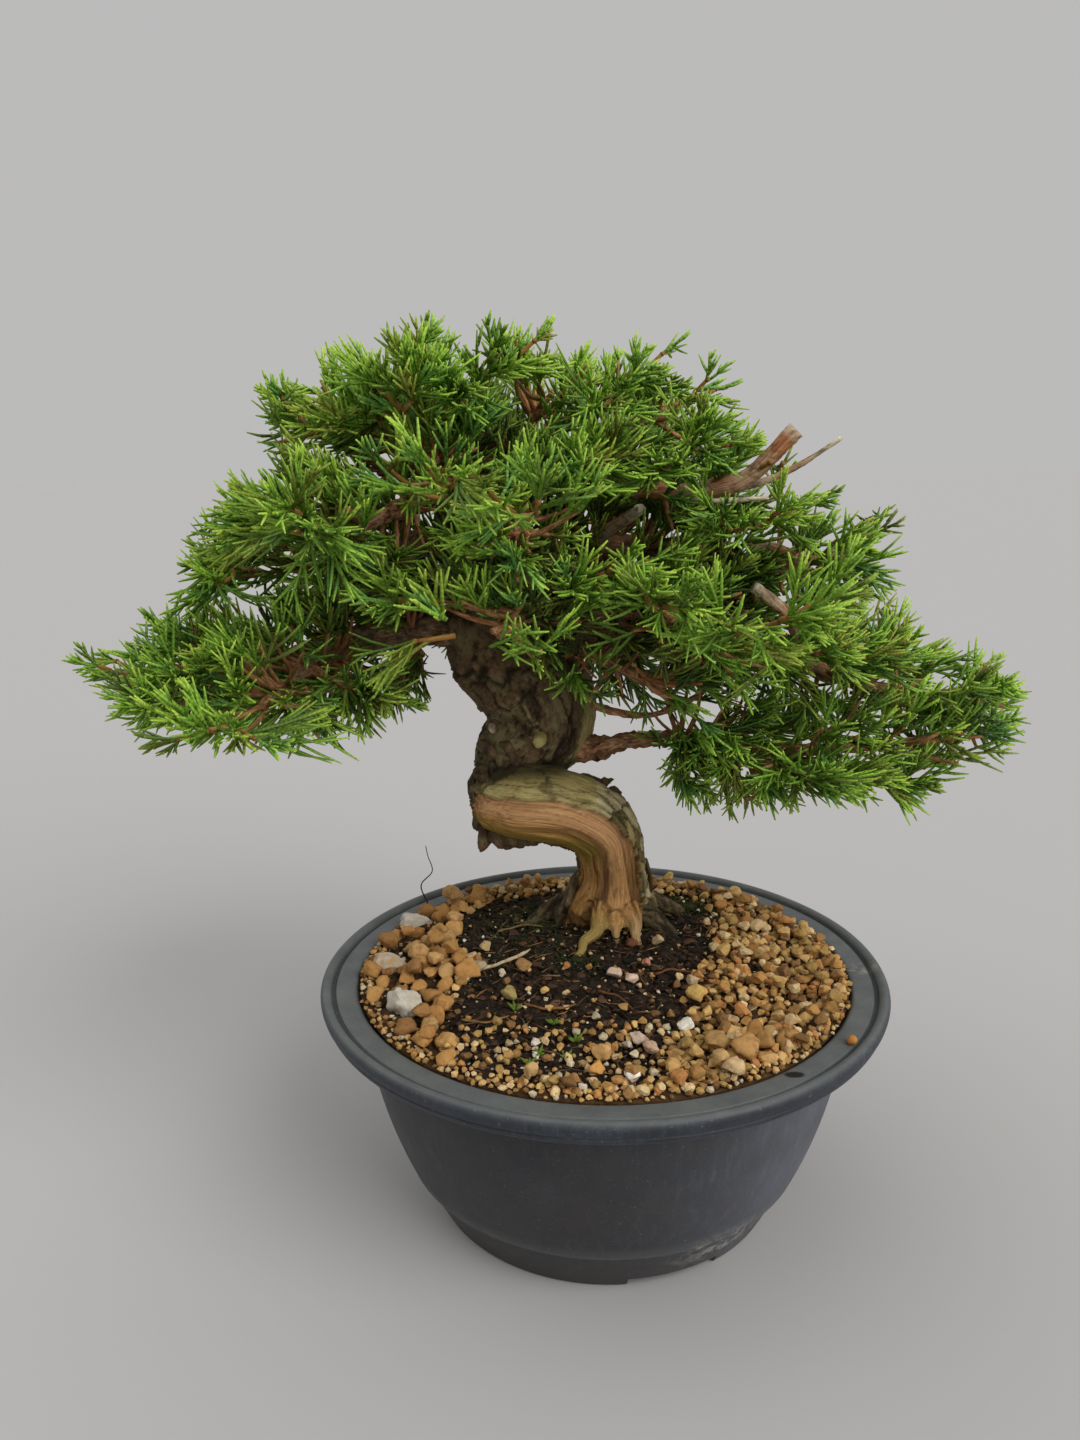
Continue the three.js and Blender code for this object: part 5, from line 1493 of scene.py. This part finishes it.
def add_limb(heap, path, sides, step, depth, red=0.0, young=0.0, pale=None, lichen=0.0, seed=0):
    """One limb with flaky ridges, closed at both ends. Dead wood says how pale it is, live wood how red."""
    points, radii, along, run = smooth_path(path, step)
    ring = ring_ways(along, sides)
    angle = np.arange(sides) * 2 * math.pi / sides
    grain = np.stack([np.outer(radii, np.cos(angle)), np.outer(radii, np.sin(angle)),
                      np.tile(run[:, None] + seed * 70.0, (1, sides))], -1)
    if sides > 8:
        rough, low, strip = shaggy(grain * [1.9, 1.9, 3.4], 80 + seed)
        rough = rough * 0.8 - 0.35
    else:
        rough = fractal(grain * [0.45, 0.45, 0.16], 2, seed)
        low, strip = smoothstep(0.0, -0.45, rough), np.full(rough.shape, (seed * 0.37) % 1)
    lumps = noise(grain * [0.1, 0.1, 0.09], seed + 3)
    reach = radii[:, None] * (1 + depth * (rough + 0.8 * lumps))
    tube = points[:, None] + ring * reach[..., None]
    values = {"grain": grain.reshape(-1, 3), "low": low.reshape(-1), "strip": strip.reshape(-1)}
    if pale is None:
        values["red"] = np.full(low.size, red)
        values["young"] = np.full(low.size, young)
    else:
        cut = smoothstep(4.5, 1.5, run[-1] - run)[:, None]
        shade = pale + 0.5 * cut + 0.5 * noise(grain * 0.12, seed + 9)
        values["pale"] = np.clip(shade, 0, 1).reshape(-1)
        values["lichen"] = np.full(low.size, lichen)
    heap.add(tube, tube_faces(1, len(points), sides), **values)


def bough_seats():
    """Where each spray grows: the side twig's start and end, in the order of the spray nodes."""
    seats = []
    for bough in BOUGHS:
        points, _, along, _ = smooth_path(bough["path"], 0.25)
        for i, place in enumerate(bough.get("sprays", [])):
            k = int(round(place * (len(points) - 1)))
            tangent = along[k]
            if place == 1:
                direction, start, reach = tangent.copy(), points[k] - TWIG_SINK * tangent, TWIG_LENGTH
            else:
                side = np.cross(UP, tangent) * (-1 if i % 2 else 1)
                side = unit(side - tangent * np.dot(side, tangent))
                turn = math.radians(SIDE_ANGLE)
                direction = tangent * math.cos(turn) + side * math.sin(turn)
                start, reach = points[k], TWIG_LENGTH + TWIG_SINK
            direction = unit(direction + UP * bough["lift"])
            seats.append({"start": start, "end": start + direction * reach, "direction": direction,
                          "red": bough["red"]})
    return seats


def add_boughs(seats):
    heap = Heap()
    for number, bough in enumerate(BOUGHS):
        add_limb(heap, bough["path"], sides=16, step=1.6, depth=bough.get("rough", 0.3), red=bough["red"],
                 seed=number + 1)
    for number, branch in enumerate(THIN_BRANCHES):
        add_limb(heap, branch, sides=10, step=1.4, depth=0.3, red=0.9, seed=number + 90)
    for number, seat in enumerate(seats):
        leafy = f"spray_{number + 1:02d}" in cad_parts
        end = seat["end"] if leafy else (seat["start"] + seat["end"]) / 2
        middle = (seat["start"] + end) / 2 + UP * 0.6
        path = [(*seat["start"], TWIG_RADIUS * 1.15), (*middle, TWIG_RADIUS), (*end, TWIG_RADIUS * 0.9)]
        add_limb(heap, path, sides=8, step=1.5, depth=0.16, red=0.4 + 0.6 * seat["red"],
                 young=0.25 * leafy, seed=number + 30)
    heap.piece("boughs_and_twigs", bough_finish(), "bark_and_deadwood", ["trunk"])


def add_deadwood():
    heap = Heap()
    for number, branch in enumerate(DEADWOOD):
        add_limb(heap, branch["path"], sides=16, step=1.0, depth=0.14, pale=branch["pale"],
                 lichen=branch.get("lichen", 0), seed=number + 60)
    heap.piece("dead_branches", deadwood_finish(), "bark_and_deadwood", ["trunk"])


# Foliage

# Sprigs: the cord's radius, the places of its side cords along it, and how many of those fork
CORD_RADIUS = 0.64
SIDE_CORDS = [0.12, 0.27, 0.42, 0.58, 0.74]
FORKED = 1
# Sprigs beside each packed cord: how many, their angle to it, their length as a share of its length,
# and how far towards the twig behind they shift
COPIES = 3
COPY_ANGLE = (14, 52)
COPY_LENGTH = (1.0, 1.6)
COPY_SHIFT = (0, 0.8)
# The crown: how much a sprig is shortened to stay within it, and how ragged its edge is
SHORTER = [1, 0.8, 0.62]
CROWN_CENTRE = np.array([-20.0, 25.0, 215.0])
CROWN_HALF = np.array([150.0, 95.0, 95.0])
CROWN_BOX = np.array([[-177, -124, 120], [177, 125, 323]])
CROWN_RAGGED = (-3.5, 8.5)
# Twigs that fill the crown: cells of this size hold ever more foliage from one round to the next
FILL_CELL = 15
FILL_LIMITS = [1, 2, 3, 4, 5, 6]
FILL_TRIES = 2600
FILL_MOST = 2300
FILL_RISE = 3
FILL_NEAREST = 5
FILL_REACH = 27
FILL_SPRIGS = (3, 5)
FILL_LENGTH = (15, 25)
TRUNK_CLEAR = 4
BARE_TWIGS = 0.06


def cord_ends(node):
    """Tip and root of each cord of a packed spray: a cord is a slim cone, so its tip is a sharp vertex."""
    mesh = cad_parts[node].data
    raw = np.array([v.co for v in mesh.vertices]) / MM - POT_AXIS
    keys = [tuple(k) for k in np.round(raw * 1000).astype(int)]
    first = {}
    same = [first.setdefault(key, i) for i, key in enumerate(keys)]
    beside = {}
    for polygon in mesh.polygons:
        corners = [same[i] for i in polygon.vertices]
        for a in corners:
            beside.setdefault(a, set()).update(c for c in corners if c != a)
    tips, roots = [], []
    for corner, others in beside.items():
        edges = raw[sorted(others)] - raw[corner]
        lengths = np.linalg.norm(edges, axis=1)
        ways = unit(edges)
        if (ways @ ways.T).min() > 0.9 and lengths.max() > 5:
            tips.append(raw[corner])
            roots.append(raw[corner] + unit(ways.sum(0)) * lengths.max())
    return np.array(tips), np.array(roots)


def skeleton(start, roots):
    """Twig lines that join the cords' roots to the start, each to the nearest that is joined."""
    joined = [start]
    lines = []
    left = list(range(len(roots)))
    while left:
        far = np.linalg.norm(np.array([roots[i] for i in left])[:, None] - np.array(joined)[None], axis=-1)
        k, j = np.unravel_index(far.argmin(), far.shape)
        lines.append((joined[j], roots[left[k]]))
        joined.append(roots[left[k]])
        left.pop(k)
    return lines


def curved(start, end, rise, rings):
    """Paths from starts to ends that leave low and turn upwards, and how far along each ring is."""
    t = np.linspace(0, 1, rings)
    bend = (UP * np.asarray(rise)[:, None])[:, None] * (t * t - t)[None, :, None]
    return start[:, None] + (end - start)[:, None] * t[None, :, None] + bend, t


def turned_away(axis, random, angle):
    """Directions at an angle from each axis, each to a random side."""
    side = random.normal(size=axis.shape)
    side = unit(side - axis * np.sum(side * axis, -1, keepdims=True))
    return axis * np.cos(angle)[:, None] + side * np.sin(angle)[:, None]


def emit(heap, path, radii, tip, shade, run):
    """Adds three-sided cords with their values: shade holds what is the same all over a sprig."""
    values = {"tip": tip, "run": run, **{key: value[:, None] for key, value in shade.items()}}
    tubes(heap, path, radii, 3, **{key: np.broadcast_to(v, path.shape[:2]) for key, v in values.items()})


def add_sprigs(heap, random, root, tip, shade):
    """Sprigs: a long cord from root to tip, with slim side cords on both sides that fork once."""
    count = len(root)
    length = np.linalg.norm(tip - root, axis=-1)
    way = unit(tip - root)
    thick = CORD_RADIUS * random.uniform(0.85, 1.15, count)[:, None]
    rise = length * random.uniform(0.02, 0.2, count)
    path, t = curved(root, tip, rise, 5)
    emit(heap, path, thick * [1.1, 1.05, 1.0, 0.9, 0.42], t[None] ** 1.4, shade, t[None] * length[:, None])
    side = unit(np.cross(way, unit(random.normal(size=(count, 3)) * 0.7 + UP)))
    for i, place in enumerate(SIDE_CORDS):
        k = (place + random.uniform(-0.06, 0.06, count))[:, None]
        start = root + (tip - root) * k + UP * rise[:, None] * (k * k - k)
        angle = np.radians(random.uniform(16, 36, count))[:, None]
        wing = side * (1 if i % 2 else -1) + random.normal(size=(count, 3)) * 0.45
        wing = unit(wing - way * np.sum(wing * way, -1, keepdims=True))
        heading = way * np.cos(angle) + wing * np.sin(angle)
        reach = length * (0.76 - 0.56 * place) * random.uniform(0.75, 1.25, count)
        end = start + heading * reach[:, None]
        side_path, s = curved(start, end, reach * random.uniform(0, 0.25, count), 3)
        shown = np.clip(0.5 * place + 0.62 * s[None] ** 1.3, 0, 1)
        emit(heap, side_path, thick * [0.95, 0.92, 0.4], shown, shade, s[None] * reach[:, None] + 20 * i)
        if i < FORKED:
            fork_from = start + (end - start) * random.uniform(0.3, 0.55, count)[:, None]
            heading = turned_away(heading, random, np.radians(random.uniform(18, 34, count)))
            fork_to = fork_from + heading * (reach * random.uniform(0.4, 0.7, count))[:, None]
            fork_path, u = curved(fork_from, fork_to, reach * 0.05, 3)
            shown = np.clip(0.5 * place + 0.25 + 0.5 * u[None], 0, 1)
            emit(heap, fork_path, thick * [0.85, 0.85, 0.4], shown, shade, u[None] * 5 + 9 * i)


def crown_shade(points, random):
    """How light each sprig's green is, which is lightest at the crown's outside, its hue and its age."""
    count = len(points)
    outward = np.linalg.norm((points - CROWN_CENTRE) / CROWN_HALF, axis=1)
    patch = noise(points * 0.05, 77) * 0.3
    tone = 0.12 + 0.52 * smoothstep(0.35, 1.0, outward) + patch + random.normal(0, 0.19, count)
    hue = 0.45 + 0.5 * noise(points * 0.065, 78) + random.normal(0, 0.17, count)
    old = np.clip(random.uniform(-0.9, 0.35, count) + 0.25 * smoothstep(0.6, 0.3, outward), 0, 0.4)
    return {"tone": np.clip(tone, 0, 1), "hue": np.clip(hue, 0, 1), "old": old}


def in_shown_part(points):
    """Whether the camera sees each point where the trunk or the stubs show."""
    return in_outline(points, TRUNK_SHOWN) | in_outline(points, STUBS_SHOWN)


def in_open_part(points):
    """Whether the camera sees each point in a part of the crown that is left open."""
    x, y, depth = in_picture(points)
    found = np.zeros(np.shape(x), bool)
    for middle_x, middle_y, half_x, half_y in OPEN_PARTS:
        found |= ((x - middle_x) / half_x) ** 2 + ((y - middle_y) / half_y) ** 2 < 1
    return found & (depth < OPEN_DEPTH)


def deadwood_places():
    """Where the camera sees the bare lengths of the dead branches, and how far round them stays clear."""
    places = []
    for branch in DEADWOOD:
        middle, _, _, run = smooth_path(branch["path"], 2.0)
        u, v, far = in_picture(middle[run > run[-1] * branch["shown_from"]])
        places.append(np.stack([u, v, far, np.full(len(u), branch["clear"])]))
    return np.hstack(places)


DEADWOOD_PLACES = deadwood_places()


def over_deadwood(points, share=1.0):
    """Whether each point lies close to a dead branch, or hides it from the camera."""
    x, y, depth = in_picture(points)
    u, v, far, clear = DEADWOOD_PLACES
    gap = np.hypot(x[:, None] - u, y[:, None] - v)
    hidden = ((gap < clear * share) & (depth[:, None] < far + 9)).any(1)
    return hidden | (in_shown_part(points) & (depth < TRUNK_DEPTH))


def kept_in_crown(root, tip, always, random):
    """Shortens sprigs to stay within the crown's outline, and tells which are kept."""
    best = root + (tip - root) * SHORTER[-1]
    inside = np.zeros(len(root), bool)
    ragged = unit((tip - CROWN_CENTRE) / CROWN_HALF) * random.uniform(*CROWN_RAGGED, len(root))[:, None]
    for share in SHORTER[::-1]:
        trial = root + (tip - root) * share
        fits = ((trial > CROWN_BOX[0]) & (trial < CROWN_BOX[1])).all(1)
        fits &= in_outline(trial + ragged, CROWN_OUTLINE)
        best = np.where(fits[:, None], trial, best)
        inside |= fits
    middle = (root + best) / 2
    clear = ~(over_deadwood(best) | over_deadwood(middle) | over_deadwood(root + (best - root) * 0.25))
    hides = in_open_part(best) | in_open_part(middle)
    clear &= ~hides | (random.random(len(root)) < OPEN_KEPT)
    covers = over_deadwood(best, 0.7) | over_deadwood(middle, 0.7)
    return best, (always & ~covers) | (inside & clear)


def add_spray(node, seat, finish, twigs, number):
    """Fine foliage in place of one packed spray. Returns the sprigs' middles and tips."""
    random = np.random.default_rng(1000 + number)
    tips, roots = cord_ends(node)
    heap = Heap()
    lines = skeleton(seat["end"], roots)
    for k, (a, b) in enumerate(lines):
        if np.linalg.norm(b - a) < 0.8 or in_shown_part(b[None])[0]:
            continue
        middle = (a + b) / 2 + random.normal(size=3) * 0.4
        path = [(*a, 1.0), (*middle, 0.9), (*b, 0.7)]
        young = 0.35 + 0.4 * (k > 3)
        add_limb(twigs, path, sides=6, step=2.2, depth=0.12, red=0.8, young=young, seed=number * 3 + k)
    before = {tuple(b): a for a, b in lines}
    behind = np.array([before[tuple(r)] for r in roots])
    way = unit(tips - roots)
    length = np.linalg.norm(tips - roots, axis=1)
    all_roots, all_tips = [roots], [tips + way * (length * 0.1)[:, None]]
    for _ in range(COPIES):
        angle = np.radians(random.uniform(*COPY_ANGLE, len(tips)))
        heading = unit(turned_away(way, random, angle) + UP * 0.16)
        reach = length * random.uniform(*COPY_LENGTH, len(tips))
        back = random.uniform(*COPY_SHIFT, len(tips))[:, None]
        shifted = roots + (behind - roots) * back
        all_roots.append(shifted)
        all_tips.append(shifted + heading * reach[:, None])
    root, tip = np.vstack(all_roots), np.vstack(all_tips)
    tip, kept = kept_in_crown(root, tip, np.arange(len(root)) < len(tips), random)
    root, tip = root[kept], tip[kept]
    add_sprigs(heap, random, root, tip, crown_shade(tip, random))
    heap.piece(node.replace("spray", "foliage"), finish, "foliage", [node])
    return np.vstack([(root + tip) / 2, tip])


def leafy_places():
    """Rows along the leafy part of each bough: place, direction, radius, lift and the bough's number."""
    rows = []
    for number, bough in enumerate(BOUGHS):
        points, radii, along, run = smooth_path(bough["path"], 2.0)
        leafy = run > run[-1] * bough.get("leafy_from", 0.24)
        same = np.tile([bough["lift"], number], (int(leafy.sum()), 1))
        rows.append(np.column_stack([points[leafy], along[leafy], radii[leafy], same]))
    return np.vstack(rows)


class Fullness:
    """How many sprigs' middles and tips lie in each cell of the crown."""

    def __init__(self, points):
        self.cells = {}
        self.fill(points)

    def cell(self, point):
        return tuple((point // FILL_CELL).astype(int))

    def fill(self, points):
        for point in points:
            self.cells[self.cell(point)] = self.at(point) + 1

    def at(self, point):
        return self.cells.get(self.cell(point), 0)


def add_fill(finish, twigs, taken):
    """Twigs that grow from the boughs into the empty parts of the crown, each with a few sprigs."""
    random = np.random.default_rng(77)
    rows = leafy_places()
    trunk = Axis([LOWER_TRUNK, UPPER_TRUNK, LEADER], 4.0)
    full = Fullness(taken)
    heaps = [Heap() for _ in BOUGHS]
    first = {number: int(np.argmax(rows[:, 8] == number)) for number in range(len(BOUGHS))}
    grown = 0
    for attempt in range(FILL_TRIES * len(FILL_LIMITS)):
        if grown > FILL_MOST:
            break
        row = rows[random.integers(len(rows))]
        offset = unit(random.normal(size=3)) * FILL_REACH * random.random() ** 0.4
        offset[2] = offset[2] * 0.8 + 4 * row[7]
        target = row[:3] + offset
        limit = FILL_LIMITS[attempt // FILL_TRIES]
        if full.at(target) >= limit or not in_outline(target[None], CROWN_OUTLINE)[0]:
            continue
        far = np.linalg.norm(rows[:, :3] - target + UP * FILL_RISE, axis=1)
        if far.min() < FILL_NEAREST or far.min() > FILL_REACH:
            continue
        near_trunk = trunk.nearest(target[None])[0]
        inside_trunk = np.linalg.norm(near_trunk[:3] - target) < near_trunk[3] + TRUNK_CLEAR
        if inside_trunk or over_deadwood(target[None])[0]:
            continue
        lift, number = rows[far.argmin()][7], int(rows[far.argmin()][8])
        start = rows[max(first[number], far.argmin() - random.integers(2, 8))][:3]
        count = random.integers(*FILL_SPRIGS)
        roots = start + (target - start) * random.uniform(0.45, 1, count)[:, None]
        ways = unit(target - start) * 0.6 + unit((target - CROWN_CENTRE) / CROWN_HALF) * 0.5
        ways = ways + UP * (0.25 + 0.5 * lift) + random.normal(size=(count, 3)) * 0.5
        tips = roots + unit(ways) * random.uniform(*FILL_LENGTH, count)[:, None]
        tips, kept = kept_in_crown(roots, tips, np.zeros(count, bool), random)
        roots, tips = roots[kept], tips[kept]
        bare = in_open_part(target[None])[0] and random.random() < BARE_TWIGS
        if len(roots) < 2 and not bare:
            continue
        middle = (start + target) / 2 - UP * 1.2 + random.normal(size=3) * 0.8
        thick = 1 if len(roots) > 1 else 0.7
        path = [(*start, 1.15 * thick), (*middle, 0.9 * thick), (*target, 0.5 * thick)]
        add_limb(twigs, path, sides=5, step=3.0, depth=0.12, red=0.9, young=0.25, seed=grown)
        if len(roots):
            add_sprigs(heaps[number], random, roots, tips, crown_shade(tips, random))
            full.fill(np.vstack([(roots + tips) / 2, tips]))
            grown += len(roots)
    for number, heap in enumerate(heaps):
        if heap.count:
            heap.piece(f"bough_shoots_{number + 1:02d}", finish, "foliage")


def add_foliage(seats):
    finish = foliage_finish()
    twigs = Heap()
    taken = []
    for number, seat in enumerate(seats):
        node = f"spray_{number + 1:02d}"
        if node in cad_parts:
            taken.append(add_spray(node, seat, finish, twigs, number))
    add_fill(finish, twigs, np.vstack(taken))
    twigs.piece("spray_twigs", bough_finish(), "foliage")


# Stage

BACKDROP_LIGHT = 0.5
FLOOR_SHARE = 0.465
FLOOR_HALF = 40.0
FLOOR_GAP = 0.0004
# Lights: name, direction they come from, width in degrees, power and tint
SUNS = [
    ("key", (0.9, -0.9, 0.95), 42, 1.9, (1, 0.985, 0.96)),
    ("top", (-0.5, 0.25, 1.2), 80, 0.75, (0.97, 0.985, 1)),
]


def add_stage():
    """Plain pale floor, as bright as the even light round it, and two wide soft lights."""
    floor_finish = Finish("floor", 0.9)
    floor_finish.done((FLOOR_SHARE, FLOOR_SHARE * 0.985, FLOOR_SHARE * 0.975, 1), specular=0.1)
    mesh = bpy.data.meshes.new("floor")
    corners = [(x * FLOOR_HALF, y * FLOOR_HALF, 0) for x, y in ((-1, -1), (1, -1), (1, 1), (-1, 1))]
    mesh.from_pydata(corners, [], [(0, 1, 2, 3)])
    floor = bpy.data.objects.new("floor", mesh)
    floor.location.z = cad_low.z - FLOOR_GAP
    mesh.materials.append(floor_finish.material)
    bpy.context.scene.collection.objects.link(floor)
    world = bpy.data.worlds.new("studio")
    bpy.context.scene.world = world
    world.use_nodes = True
    background = world.node_tree.nodes["Background"]
    background.inputs["Color"].default_value = (1, 0.99, 0.985, 1)
    background.inputs["Strength"].default_value = BACKDROP_LIGHT
    for sun in SUNS:
        soft_sun(*sun)


def soft_sun(name, towards, width, power, tint):
    """Light from far away that comes from a wide patch of the sky."""
    data = bpy.data.lights.new(name, "SUN")
    data.angle = math.radians(width)
    data.energy = power
    data.color = tint
    light = bpy.data.objects.new(name, data)
    light.rotation_euler = Vector(towards).to_track_quat("Z", "Y").to_euler()
    bpy.context.scene.collection.objects.link(light)


def add_camera():
    """The photograph's viewpoint."""
    data = bpy.data.cameras.new("camera")
    data.sensor_width = SENSOR
    data.sensor_fit = "AUTO"
    data.lens = CAMERA_FOCAL_PIXELS * SENSOR / PICTURE_SIZE[1]
    data.clip_start = 0.01
    camera = bpy.data.objects.new("camera", data)
    camera.location = (np.array(CAMERA_PLACE) + POT_AXIS) * MM
    tilt, roll = math.radians(90 - CAMERA_PITCH), -math.radians(CAMERA_ROLL)
    camera.rotation_euler = (Matrix.Rotation(tilt, 3, "X") @ Matrix.Rotation(roll, 3, "Z")).to_euler()
    bpy.context.scene.collection.objects.link(camera)
    bpy.context.scene.camera = camera


def main():
    add_camera()
    add_stage()
    add_pot()
    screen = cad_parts["drain_screen"].data
    screen.materials.clear()
    screen.materials.append(screen_finish())
    add_soil_bed()
    add_granules()
    add_stones()
    add_rootlets()
    add_moss()
    add_trunk()
    add_flaps()
    seats = bough_seats()
    add_boughs(seats)
    add_deadwood()
    add_foliage(seats)
    bpy.context.scene.view_settings.view_transform = "Standard"


main()
